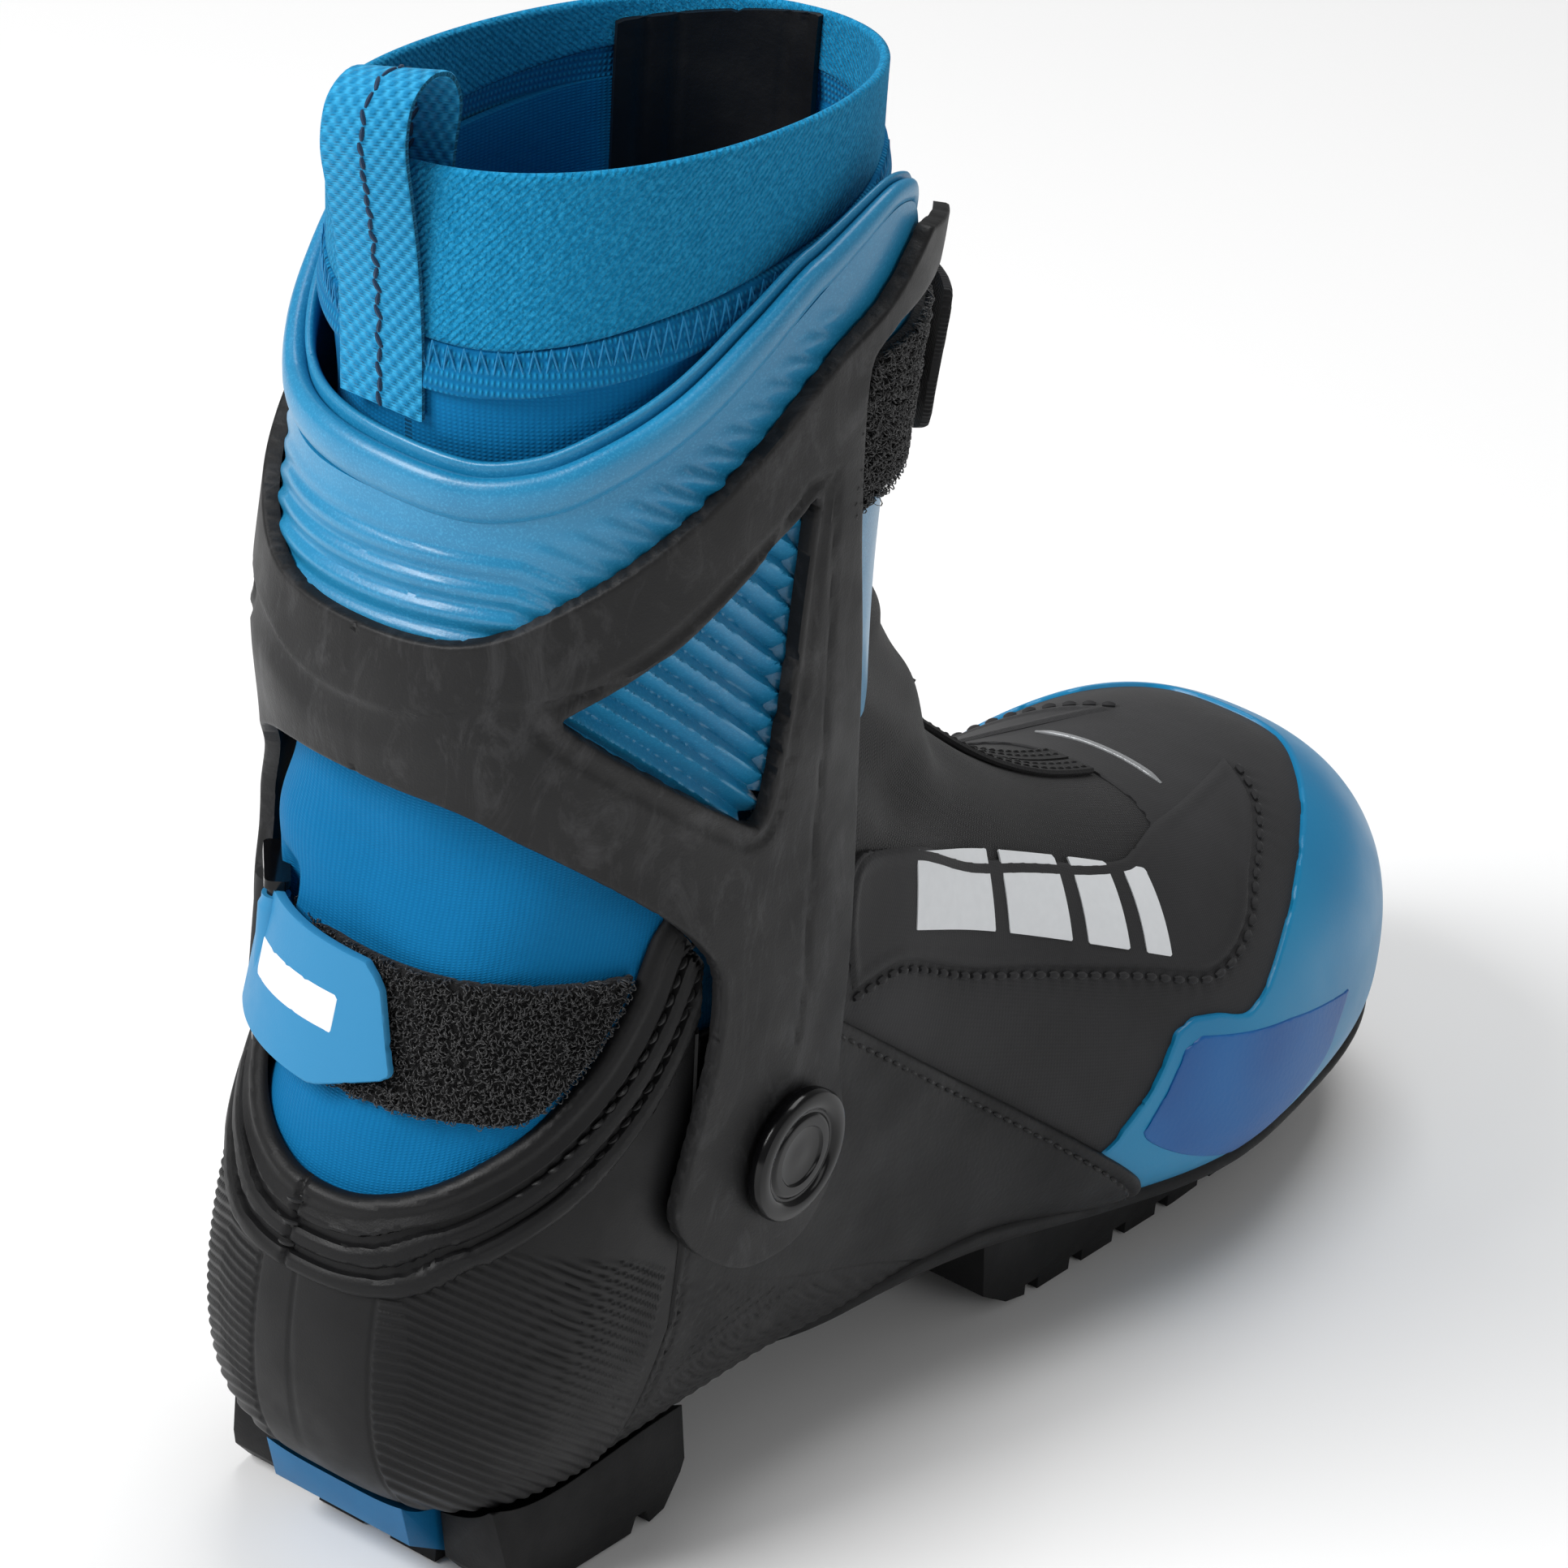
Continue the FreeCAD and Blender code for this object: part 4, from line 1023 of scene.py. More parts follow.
MARK_START = (117.0, 95.0)          # rear lower corner of the white bars on the quarters
MARK_HEIGHT = 12.5
MARK_SLOPE = -.40
MARK_BARS = [(117, 143), (147, 163), (167, 177), (181, 187)]
MARK_LEAN = 3.5


def make_quarter_marks():
    """Plain slanted bars, shorter and shorter towards the toe."""
    for side, name in SIDES:
        for k, (back, ahead) in enumerate(MARK_BARS):
            low = [MARK_START[1] + MARK_SLOPE * (x - MARK_START[0]) for x in (back, ahead)]
            bar = [(back, low[0]), (ahead, low[1]), (ahead + MARK_LEAN, low[1] + MARK_HEIGHT),
                   (back + MARK_LEAN, low[0] + MARK_HEIGHT)]
            p = side_patch(FOOT, (6.0, 11.0), side, .2, 1.7, 0.8)
            p.trim(side_view(bar))
            piece = shell("quarter_bar_%s_%d" % (name, k + 1), p, .42, .1, FINISH["print_white"])
            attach(piece, "boot")


ZIP_LINE = [(151, 10, 115.8), (164.5, 5.5, 106.4), (178, 1, 97), (190, -1.5, 90), (200, -2, 86.5),
            (206, -2, 84.8)]
ZIP_FLAP = [(.35, .15), (.45, .75), (2.6, .8), (5.2, .7), (5.6, .1), (5.2, -.5), (.8, -.5)]
ZIP_STITCHES = (2.1, 4.3)           # distances of the rows from the zip's middle
ARC_LINE = [(218.5, 14, 79), (219.7, 5, 80), (219.6, -4.5, 80), (218.6, -14, 79)]
ARC_SECTION = [(-.9, .1), (-.75, .45), (.75, .45), (.9, .1), (.7, -.3), (-.7, -.3)]


def end_taper(path, steps, least):
    """Sizes that shrink towards both ends of a path, over some steps."""
    place = np.arange(len(path.points))
    return np.sqrt(np.clip(np.minimum(place, place[::-1]) / steps, least, 1))


def make_zip_and_strip():
    path = Path(FOOT, skin_line(FOOT, ARC_LINE), 0.0, .8)
    soup = Soup()
    soup.sweep(path, ARC_SECTION, end_taper(path, 4.0, .15))
    keep(soup.build("reflective_arc", FINISH["reflector"]), "boot", "reflective", "reflective_strip")

    line = skin_line(FOOT, ZIP_LINE)
    path = Path(FOOT, line, 0.0, 1.0)
    soup = Soup()
    for sign in (-1, 1):
        soup.sweep(path, [(sign * x, h) for x, h in ZIP_FLAP])
    keep(soup.build("zip_flaps", FINISH["zip_tape"]), "boot", "zip_black", "zip_tape")
    soup = Soup()
    for sign in (-1, 1):
        for s in ZIP_STITCHES:
            stitch_row(soup, Path(FOOT, line, .82, 1.0), 1.7, .9, .24, .15, sign * s)
    keep(soup.build("zip_stitches", FINISH["thread_black"]), "boot", "zip_black")


# ---- soft ankle --------------------------------------------------------------------------
def make_ankle():
    """The stretch parts that reach over the cuff's hinge. Gives the pieces back."""
    gaiter = [(76, 50), (76, 176), (140, 176), (215, 110), (214, 60), (150, 60)]
    p = Patch(FOOT, (4.6, 16.2), (-1.75, 1.75), 1.3)
    p.trim(side_view(gaiter))
    p.edge_rings((.4, 1.2))
    pts = p.points()
    x, y, z = pts.T
    bend = ramp(z, 92, 118) * (1 - ramp(z, 150, 172))
    folds = 1.3 * np.sin(.30 * (x * .75 + z) + .035 * y) * bend * ramp(np.abs(y), 4, 24)
    bulge = 4.6 * ramp(z, 112, 130) * (1 - ramp(z, 150, 172)) * (1 - ramp(np.abs(y), 12, 34))
    outer = -.55 + folds - .4 * bend + bulge + ripple(pts, LUMPS) * .6
    weave = shell("instep_weave", p, outer, outer - 1.4, FINISH["gaiter_weave"], 60)

    region = [(-40, 56), (-40, 172), (80, 172), (80, 56)]
    p = Patch(FOOT, (9.5, 16.2), (math.pi - 2.4, math.pi + 2.4), 1.3)
    p.trim(side_view(region))
    pts = p.points()
    x, y, z = pts.T
    strap = ramp(z, 84, 96) * (1 - ramp(z, 118, 130))
    outer = ripple(pts, [(.16, .09, .21, .5), (-.11, .19, .14, .42), (.07, -.13, .33, .3)]) - .5 * strap
    outer = outer + .9 * np.exp(-((z - 138) / 14) ** 2)
    inward = ramp(y, 2, 24) * ramp(60 - x, 0, 30)
    outer = outer + 5.5 * inward * ramp(z, 96, 124) * (1 - ramp(z, 146, 168))
    # dented round the bar of the strap ring, where the sewn loop of the loose end turns
    level = ramp(z, 88, 93) * (1 - ramp(z, 121, 127))
    outward = FOOT.outward(*p.uv.T)
    for _ in range(3):
        gap = np.linalg.norm((pts + outward * outer[:, None])[:, :2] - HEEL_RING, axis=1)
        outer = outer - level * np.maximum(HEM_ROOM - gap, 0)
    jersey = shell("ankle_jersey", p, outer - .4, outer - 2.0, FINISH["azure_jersey"], 60)

    p = Patch(FOOT, (8.5, 16.8), (-math.pi, math.pi), 2.0)
    p.trim(side_view([(-40, 20), (-40, 186), (140, 186), (210, 60), (210, 20)]))
    lining = shell("bootie_lining", p, -2.3, -3.6, FINISH["lining"], 60)

    for piece, slot_name, node in ((weave, "gaiter_black", "instep_gaiter"),
                                   (jersey, "azure_stretch", "ankle_sleeve"),
                                   (lining, "bootie_lining", "inner_bootie")):
        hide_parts(node)
    return weave, jersey, lining


HEM = [(-30, 222), (-8, 222), (0, 222), (12, 226), (24, 229), (36, 232), (52, 236), (67, 239.5), (86, 243),
       (108, 245), (130, 246)]
BAND_TOP = [(-30, 231), (-8, 231), (2, 231), (11, 233.5), (22, 236.5), (36, 239), (54, 242.5), (70, 245.5),
            (86, 248.5), (108, 251), (130, 252)]
ZIGZAG_PITCH = 2.6
ABOVE_COLLAR = [(130, 268), (-30, 268)]
COLLAR_WAVES = [(.05, .06, .02, .5), (-.04, .05, .03, .4), (.09, .02, .1, .18)]
COLLAR_TOP = (260.3, -.12)          # height at the middle, and how it changes towards the inner side
PANEL_TOP = (259.5, -.22)
PANEL_SIDES = (-4.5, 28)
PANEL_SEAMS = (-1.5, 2.5, 21.0, 25.0)


def make_collar():
    p = Patch(FOOT, (16.0, 18.9), (-math.pi, math.pi), 1.3)
    p.trim(side_view([(-40, 168), (76, 168), (76, 174), (140, 174), (140, 250), (-40, 226)]))
    pts = p.points()
    outer = -.5 + ripple(pts, [(.14, .10, .18, .35), (-.1, .17, .12, .28)])
    piece = shell("upper_jersey", p, outer, outer - 1.4, FINISH["azure_jersey"], 60)
    keep(piece, "cuff", "azure_stretch", "upper_sleeve")

    hem = smooth(HEM, False)
    band = smooth(BAND_TOP, False)
    p = Patch(FOOT, (16.4, 18.9), (-math.pi, math.pi), 1.1)
    p.trim(side_view(np.concatenate([band, ABOVE_COLLAR])))
    p.trim(lambda uv, pts: COLLAR_TOP[0] + COLLAR_TOP[1] * pts[:, 1] - pts[:, 2])
    edge = round_edge(p.edge_rings((.4, 1.0)), .8, .8)
    wave = ripple(p.points(), COLLAR_WAVES)
    piece = shell("collar_knit", p, -.8 + edge + wave, -1.0 - edge * .9 + wave, FINISH["azure_knit"], 60)
    keep(piece, "cuff", "azure_knit", "knit_collar")

    p = Patch(FOOT, (16.2, 18.6), (-math.pi, math.pi), 1.1)
    p.trim(side_view(np.concatenate([hem, band[::-1]])))
    d = p.edge_rings((.4, 1.0))
    pts = p.points()
    wave = ripple(pts, COLLAR_WAVES)
    flare = 1.2 * ramp(np.interp(pts[:, 0], hem[:, 0], hem[:, 1]) + 8 - pts[:, 2], 0, 8)
    outer = -.6 + round_edge(d, .8, .9) + wave + flare
    piece = shell("collar_hem", p, outer, -1.4 + wave + flare * .7, FINISH["azure_hem"], 60)
    keep(piece, "cuff", "azure_knit")

    # zigzag seam between the hem and the knit
    soup = Soup()
    for side, _ in SIDES:
        up, down = (Path(FOOT, skin_line(FOOT, [(x, z + dz) for x, z in BAND_TOP[1:-2]], v_low=v_start(side)),
                         .75, .5) for dz in (.6, -5.5))
        count = int(up.length / ZIGZAG_PITCH)
        for k in range(count):
            a = point_on(up, (k + .5) / count)
            b = point_on(down, (k + 1.0) / count)
            c = point_on(up, (k + 1.5) / count)
            for s, e in ((a, b), (b, c)):
                soup.capsule(s[0], e[0], s[1], .17, .15, 4, 5)
    keep(soup.build("collar_zigzag", FINISH["thread_blue"]), "cuff", "azure_knit")

    p = Patch(FOOT, (15.6, 18.9), (-.9, .9), 1.2)

    def panel(uv, pts):
        y, z = pts[:, 1], pts[:, 2]
        low = np.minimum(y - PANEL_SIDES[0], z - 202)
        return np.minimum(low, np.minimum(PANEL_SIDES[1] - y, PANEL_TOP[0] + PANEL_TOP[1] * y - z))

    p.trim(panel)
    p.edge_rings((.4, 1.0))
    pts = p.points()
    lines = sum(.5 * np.exp(-((pts[:, 1] - y) / .5) ** 2) for y in PANEL_SEAMS)
    lumps = ripple(pts, LUMPS) * .6
    outer, inner = -2.1 - lines + lumps, -3.3 + lines + lumps
    piece = shell("collar_front_panel", p, outer, inner, FINISH["panel_film"], 60)
    keep(piece, "cuff", "panel_black", "collar_panel")


def point_on(path, share):
    place = np.clip(share, 0, 1) * path.length
    return path.pick(path.points, place), path.pick(path.normal, place)


class Line3(Path):
    """Evenly spaced points on a smooth line in space; its side direction stays near the one given."""

    def __init__(self, points, spacing, side):
        p = smooth(points, False)
        self.points = self.spread(p, p, spacing)
        self.normal = np.zeros_like(self.points)
        self.frame()
        normal = np.cross(side, self.tangent)
        self.normal = normal / np.linalg.norm(normal, axis=1, keepdims=True)
        self.frame()


LOOP_LINE = [(2.4, 217), (1.8, 222), (0.5, 232), (-2.0, 246), (-5.0, 258), (-7.2, 267), (-6.6, 274),
             (-2.6, 277.4), (2.2, 276.4), (4.9, 271.5), (4.4, 263), (4.9, 252), (6.0, 242)]
LOOP_Y = 3.5
LOOP_HALF = 8.3                     # half of the webbing's width
LOOP_SECTION = [(-LOOP_HALF, -.35), (-LOOP_HALF + .3, -.6), (LOOP_HALF - .3, -.6), (LOOP_HALF, -.35),
                (LOOP_HALF, .35), (LOOP_HALF - .3, .6), (0, .72), (-LOOP_HALF + .3, .6), (-LOOP_HALF, .35)]


def tilt_loop(points):
    """The arch of the loop hangs lower at the boot's inner side."""
    low = ramp(points[:, 2], 228, 272) * (2.2 + .27 * (points[:, 1] + 4.8))
    return points - low[:, None] * np.array([0.0, 0.0, 1.0])


def make_loop():
    line = [(x, LOOP_Y, z) for x, z in LOOP_LINE]
    across = np.array([0.0, 1.0, 0.0])
    soup = Soup()
    soup.sweep(Line3(line, 1.2, across), LOOP_SECTION)
    soup.verts = [tilt_loop(v) for v in soup.verts]
    keep(soup.build("heel_loop_webbing", FINISH["azure_web"]), "cuff", "azure_webbing", "pull_loop")
    soup = Soup()
    for sign in (1, -1):
        seam = Line3(line, .8, across)
        seam.points = seam.points + seam.normal * sign * .68
        seam.normal = seam.normal * sign
        seam.points = seam.points + across * .5 * np.sin(seam.run / 5.5 * TAU)[:, None]
        stitch_row(soup, seam, 2.3, .3, .42, .1, 0, .22)
    soup.verts = [tilt_loop(v) for v in soup.verts]
    keep(soup.build("heel_loop_stitches", FINISH["thread_navy"]), "cuff", "azure_webbing")


# ---- cuff --------------------------------------------------------------------------------
CUFF_OUTLINE = [(-30, 181), (-3, 182), (10, 192), (30, 207), (55, 226), (68, 232), (80, 241), (96, 238),
                (90, 230), (72, 227), (65, 222), (69, 197), (76, 167), (81, 135), (82, 112), (81, 88),
                (84, 76), (81, 65), (72, 58), (58, 58), (47, 64), (41, 70), (39, 76), (42, 90), (45, 104),
                (45, 117), (40, 125), (31, 133), (23, 139), (10, 148), (0, 154), (-30, 155)]
CUFF_CORNERS = (6, 7, 8, 9)
# the inner leg reaches further back than the outer one
CUFF_INNER_SIDE = CUFF_OUTLINE[:22] + [(35, 82), (30, 92), (26.5, 104), (25.5, 112), (26, 120), (24.5, 130),
                                       (18, 141), (9, 149), (0, 154), (-30, 155)]
CUFF_WINDOW = [(54.5, 202), (52, 200), (40, 192), (25, 181), (11, 172), (13, 169), (25, 160), (40, 150),
               (50, 144), (52, 146), (53, 152), (54, 166), (54.5, 180)]
CUFF_RIDGE = [(-12, 160), (-3, 168), (2, 173), (13, 177), (30, 184), (44, 196), (58, 214)]
CUFF_GROOVE = [(59, 205), (62, 187), (66, 150), (67, 110), (66, 99)]
CUFF_INSIDE = -2.8
CUFF_SEAM_Y = 1.2                   # parting line of the cuff's rear
PIVOT = (66.0, 78.0)
PIVOT_BORE = 5.3
LEG_STAND_OFF = 1.9
LINER_TOP = [(-30, 204), (-2, 204), (6, 207), (16, 213), (27, 220), (40, 230), (56, 240), (70, 246),
             (78, 245), (83, 239), (87, 229), (93, 216), (104, 200)]
LINER_BOTTOM = [(-30, 160), (8, 160), (24, 154), (44, 136), (62, 134), (84, 142), (104, 160)]
LIP_SECTION = [(5.0, -3.0), (5.2, -1.6), (8.2, -1.3), (8.7, -1.7), (8.6, -2.4), (8.0, -2.9)]


def make_cuff():
    outer_side = smooth(CUFF_OUTLINE, True, CUFF_CORNERS, 6)
    inner_side = smooth(CUFF_INNER_SIDE, True, CUFF_CORNERS, 6)
    window = smooth(CUFF_WINDOW, True, (), 6)

    def outline(uv, pts):
        view = pts[:, [0, 2]]
        return np.where(pts[:, 1] > CUFF_SEAM_Y, inside_distance(inner_side, view),
                        inside_distance(outer_side, view))

    p = Patch(CUFF, (0.3, 12.0), (0.15, TAU - .15), fine(0.85))
    p.trim(outline)
    p.trim(lambda uv, pts: -inside_distance(window, pts[:, [0, 2]]))
    p.trim(lambda uv, pts: np.linalg.norm(pts[:, [0, 2]] - np.array(PIVOT), axis=1) - PIVOT_BORE)
    d = p.edge_rings((.2, .5, .9, 1.5))
    pts = p.points()
    x, y, z = pts.T
    view = pts[:, [0, 2]]
    outer = round_edge(d, .9, .8) - .8
    frame_edge = np.abs(inside_distance(window, view))
    outer = outer - .45 * ramp(4.2 - frame_edge, 0, .5) * ramp(frame_edge, 1.6, 2.2)
    outer = outer - .4 * np.exp(-((y - CUFF_SEAM_Y) / .4) ** 2) * (x < 14)
    ridge = smooth(CUFF_RIDGE, False)
    above = np.interp(x, ridge[:, 0], ridge[:, 1]) - z
    outer = outer - .7 * ramp(above, -.5, .5) * ramp(9 - above, 0, 8) * ramp(56 - x, 0, 12)
    groove = line_distance(smooth(CUFF_GROOVE, False), view)
    outer = outer - .5 * np.exp(-(groove / .6) ** 2)
    # the inner leg stands off the heel cup's rim, so that it passes over it as the cuff flexes
    stand_off = LEG_STAND_OFF * ramp(42 - x, 0, 10) * (y > 0) * ramp(140 - z, 0, 14) * ramp(z, 82, 92)
    piece = shell("cuff_shell", p, outer + stand_off, stand_off + CUFF_INSIDE, FINISH["cuff_plastic"], 38)
    keep(piece, "cuff", "cuff_graphite", "cuff_frame")


def make_liner():
    window = smooth(CUFF_WINDOW, True, (), 6)
    top = smooth(LINER_TOP, False)
    bottom = smooth(LINER_BOTTOM, False)
    p = Patch(CUFF, (6.0, 11.9), (0.45, TAU - .45), fine(0.6))
    p.trim(side_view(np.concatenate([top, bottom[::-1]])))
    p.edge_rings((.4, 1.0))
    pts = p.points()
    x, y, z = pts.T
    view = pts[:, [0, 2]]
    inside = ramp(inside_distance(window, view), -1.5, .5)
    follow = line_distance(top[top[:, 0] < 84], view)
    flow = z + .46 * np.maximum(x - 4, 0) + 1.6 * np.sin(x / 17.0) + .9 * np.sin(y / 11.0 + 1)
    uneven = .7 + .3 * np.sin(x / 9.0 + z / 7.0)
    waves = ribbing(flow, 4.6) * ramp(follow, 3, 7) * (1 - ramp(x, 46, 62)) * uneven
    outer = -3.4 - 2.0 * inside + 1.1 * waves * (1 - inside)
    keep(shell("liner_foam", p, outer, -6.4, FINISH["foam_satin"], 50), "cuff", "foam_blue", "cuff_liner")

    # saw-toothed ribs in the windows
    for side, name in SIDES:
        p = side_patch(CUFF, (5.8, 10.4), side, .9, 2.6, fine(0.4))
        p.trim(lambda uv, pts: inside_distance(window, pts[:, [0, 2]]) + 1.6)
        pts = p.points()
        teeth = (pts[:, 2] + .74 * pts[:, 0]) / 5.2 % 1.0
        teeth = np.where(teeth < .66, teeth / .66, (1 - teeth) / .34)
        piece = shell("liner_ribs_" + name, p, -5.4 + 2.4 * teeth, -5.8, FINISH["foam_satin"], 55)
        keep(piece, "cuff", "foam_blue")

    # rolled rim with a thin inner lip
    rim = LINER_TOP[1:9] + [(80.5, 241.5)]
    lateral = locate(CUFF, rim, 0.0)
    medial = locate(CUFF, rim, math.pi)
    full = np.concatenate([lateral[::-1], medial[1:]])
    path = Path(CUFF, smooth(full * SCALE, False) / SCALE, -4.4, 1.0)
    soup = Soup()
    size = np.interp(path.points[:, 0], [0, 40, 62, 76, 80], [1, .9, .68, .5, .2])
    soup.sweep(path, [(2.9 + x, y + .12 * x) for x, y in oval(4.3, 2.5)], size)
    soup.sweep(path, LIP_SECTION, size)
    keep(soup.build("liner_rim", FINISH["foam_satin"], 60), "cuff", "foam_blue")


# ---- straps ------------------------------------------------------------------------------
def hoops(soup, patch, outer, count, height, seed, radius):
    """Small curly loops of thread standing on a patch."""
    rng = np.random.default_rng(seed)
    pts = patch.points()
    n = patch.surface.outward(*patch.uv.T)
    tri = patch.tri
    area = np.linalg.norm(np.cross(pts[tri[:, 1]] - pts[tri[:, 0]], pts[tri[:, 2]] - pts[tri[:, 0]]), axis=1)
    chosen = rng.choice(len(tri), count, p=area / area.sum())
    steps, sides = 6, 3
    for t in chosen:
        w = rng.dirichlet((1, 1, 1))
        c = (pts[tri[t]] * w[:, None]).sum(0)
        m = (n[tri[t]] * w[:, None]).sum(0)
        level = float((outer[tri[t]] * w).sum())
        m /= np.linalg.norm(m)
        a = rng.normal(size=3)
        a -= m * (a @ m)
        a /= np.linalg.norm(a)
        b = np.cross(m, a)
        size = height * rng.uniform(.5, 1.1)
        lean = rng.normal(0, .5)
        verts = []
        for k in range(steps):
            turn = math.pi * (k / (steps - 1))
            up, ahead = math.sin(turn), -math.cos(turn)
            centre = c + m * (level - .1 + size * up) + a * (size * .55 * ahead) + b * lean * size * up
            for j in range(sides):
                q = TAU * j / sides
                radial = a * up * math.cos(q) * -.2 + m * math.cos(q) * .8 + b * math.sin(q)
                verts.append(centre + radial * radius)
        soup.add(verts, tube_faces(steps, sides))


HEEL_RING = (10.8, 23.8)            # x, y of the bars that the loose strap ends turn on
CUFF_RING = (90.8, 39.0)
HEM_RADIUS = 2.9                    # outside of the sewn loop round a ring's bar
HEM_ROOM = 4.6
HEEL_STRAP_Z = (95.0, 119.0)
CUFF_STRAP_Z = (194, 222)
HEEL_BAND = [(-30, 95), (10, 95), (17, 95.5), (26.2, 105), (32.2, 115), (33.6, 119), (10, 119), (-30, 119)]
HEEL_TAB = [(25.0, 96.0), (4.6, 94.8), (3.4, 95.0), (-7.6, 100.2), (-8.9, 101.5), (-5.0, 115.0), (-3.6, 117),
            (-1.5, 119.0), (25.0, 120.0)]
HEEL_TAB_BAR = ((2.0, 19.5), (104.8, 111.2))
CUFF_TAB = [(97.5, 196.5), (96.6, 199), (96.2, 218), (97.6, 221.5), (101, 222), (140, 222), (140, 194),
            (100.5, 194)]


def strap_box(start):
    """Side view of the cuff strap's height, from a place along the boot onwards."""
    low, high = CUFF_STRAP_Z
    return [(start, low), (start, high), (140, high), (140, low)]


def hem_tube(name, place, low, high, finish):
    """Sewn loop of a strap's end round the upright bar of its ring."""
    path = Line3([(*place, low), (*place, (low + high) / 2), (*place, high)], 1.0, np.array([1.0, 0.0, 0.0]))
    soup = Soup()
    soup.sweep(path, oval(HEM_RADIUS, HEM_RADIUS), end_taper(path, 2.0, .7))
    return soup.build(name, FINISH[finish])


def make_heel_strap():
    p = Patch(FOOT, (11.6, 15.4), (math.pi - 1.35, math.pi + 1.05), 1.0)
    p.trim(side_view(smooth(HEEL_BAND, True, (0, 5, 7), 6)))
    p.trim(lambda uv, pts: 20.0 - pts[:, 1])
    outer = 1.2 + round_edge(p.edge_rings((.3, .7)), .5, .5)
    piece = shell("heel_strap_pile", p, outer, .3, FINISH["loop_pile"])
    keep(piece, "boot", "strap_black", "heel_strap_band")
    soup = Soup()
    hoops(soup, p, outer, fine(5200), 1.15, 3, .13)
    keep(soup.build("heel_strap_loops", FINISH["fibre"], 180), "boot", "strap_black")

    tab_range = (11.8, 15.4), (math.pi - .6, math.pi + 1.3)
    p = Patch(FOOT, *tab_range, 0.9)
    p.trim(lambda uv, pts: inside_distance(np.array(HEEL_TAB), pts[:, [1, 2]]))
    d = p.edge_rings((.25, .6, 1.1))
    lift = 1.6 * ramp(p.points()[:, 1], -6, 22)
    tab = shell("heel_tab_film", p, 4.1 + round_edge(d, .45, .7) + lift, 3.2 + lift, FINISH["tab_film"])
    keep(tab, "heel_tab", "tab_blue", "heel_strap_tab")
    keep(hem_tube("heel_tab_hem", HEEL_RING, *HEEL_STRAP_Z, "tab_film"), "heel_tab", "tab_blue")

    p = Patch(FOOT, *tab_range, 0.8)
    (y0, y1), (z0, z1) = HEEL_TAB_BAR
    p.trim(lambda uv, pts: np.minimum(np.minimum(pts[:, 1] - y0, y1 - pts[:, 1]),
                                      np.minimum(pts[:, 2] - z0, z1 - pts[:, 2])))
    d = p.edge_rings((.2,))
    lift = 1.6 * ramp(p.points()[:, 1], -6, 22)
    bar = shell("heel_tab_bar", p, 4.82 + round_edge(d, .1, .1) + lift, 4.6 + lift, FINISH["print_white"])
    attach(bar, "heel_tab")


def make_cuff_strap():
    band = side_view(strap_box(66))
    p = Patch(CUFF, (8.0, 11.2), (-1.3, 1.45), 1.1)
    p.trim(band)
    p.trim(lambda uv, pts: 30.0 - pts[:, 1])
    outer = -1.9 + round_edge(p.edge_rings((.3, .8)), .5, .5)
    piece = shell("cuff_strap_pile", p, outer, -2.8, FINISH["loop_pile"])
    keep(piece, "cuff", "strap_black", "cuff_strap_band")
    soup = Soup()
    lateral = Patch(CUFF, (8.0, 11.2), (.4, 1.45), 2.0)
    lateral.trim(band)
    hoops(soup, lateral, np.full(len(lateral.uv), -1.4), fine(3800), 1.5, 5, .15)
    keep(soup.build("cuff_strap_loops", FINISH["fibre"], 180), "cuff", "strap_black")

    tip, root = side_view(CUFF_TAB), side_view(strap_box(84))
    p = Patch(CUFF, (8.0, 11.2), (-1.25, 1.2), 0.9)
    p.trim(lambda uv, pts: np.where(pts[:, 1] > 0, root(uv, pts), tip(uv, pts)))
    p.trim(lambda uv, pts: 38.4 - pts[:, 1])
    outer = 2.7 + round_edge(p.edge_rings((.3, .8, 1.6)), .6, .7)
    tab = shell("cuff_strap_film", p, outer, 1.8, FINISH["strap_web"])
    keep(tab, "cuff_strap", "strap_black", "cuff_strap_end")
    low, high = CUFF_STRAP_Z
    keep(hem_tube("cuff_strap_hem", CUFF_RING, low + .5, high, "strap_web"), "cuff_strap", "strap_black")


# ---- pivots ------------------------------------------------------------------------------
def lathe(name, profile, centre, sign, material, segments=72):
    """Round part about a line along Y; profile is (radius, distance outwards)."""
    verts = []
    for r, out in profile:
        for k in range(segments):
            a = TAU * k / segments
            verts.append((centre[0] + r * math.cos(a), sign * out, centre[1] + r * math.sin(a)))
    faces = [face[::sign] for face in tube_faces(len(profile), segments)]
    return make_object(name, verts, faces, material, None, 35)


CAP_PROFILE = [(11.2, 45.6), (11.9, 45.9), (12, 46.6), (12, 47.5), (11.6, 48.2), (10.8, 48.55), (9.9, 48.6),
               (9.0, 48.45), (8.5, 48.0), (8.3, 47.75), (7.9, 47.7), (7.6, 47.9), (7.3, 48.1), (6.9, 48.15),
               (5.6, 48.1), (5.3, 47.7), (5.0, 47.6), (2.0, 47.6), (.3, 47.7)]


def make_pivots():
    for side, name in SIDES:
        disc = lathe("pivot_disc_" + name, CAP_PROFILE, PIVOT, side, FINISH["gloss_plastic"])
        keep(disc, "boot", "gloss_black", "pivot_cap_" + name)


# CAD nodes that show as they are, by finish
CARRIED = {
    "tread_rubber": ("heel_tread_centre", "guide_strip"),
    "bar_steel": ("toe_bar",),
    "felt": ("insole",),
    "lining": ("tongue",),
    "zip_paint": ("zip_slider", "zip_puller"),
    "gloss_plastic": ("heel_strap_ring", "cuff_strap_ring", "pivot_post_lateral", "pivot_post_medial"),
    "strap_web": ("heel_ring_webbing", "cuff_ring_webbing"),
}
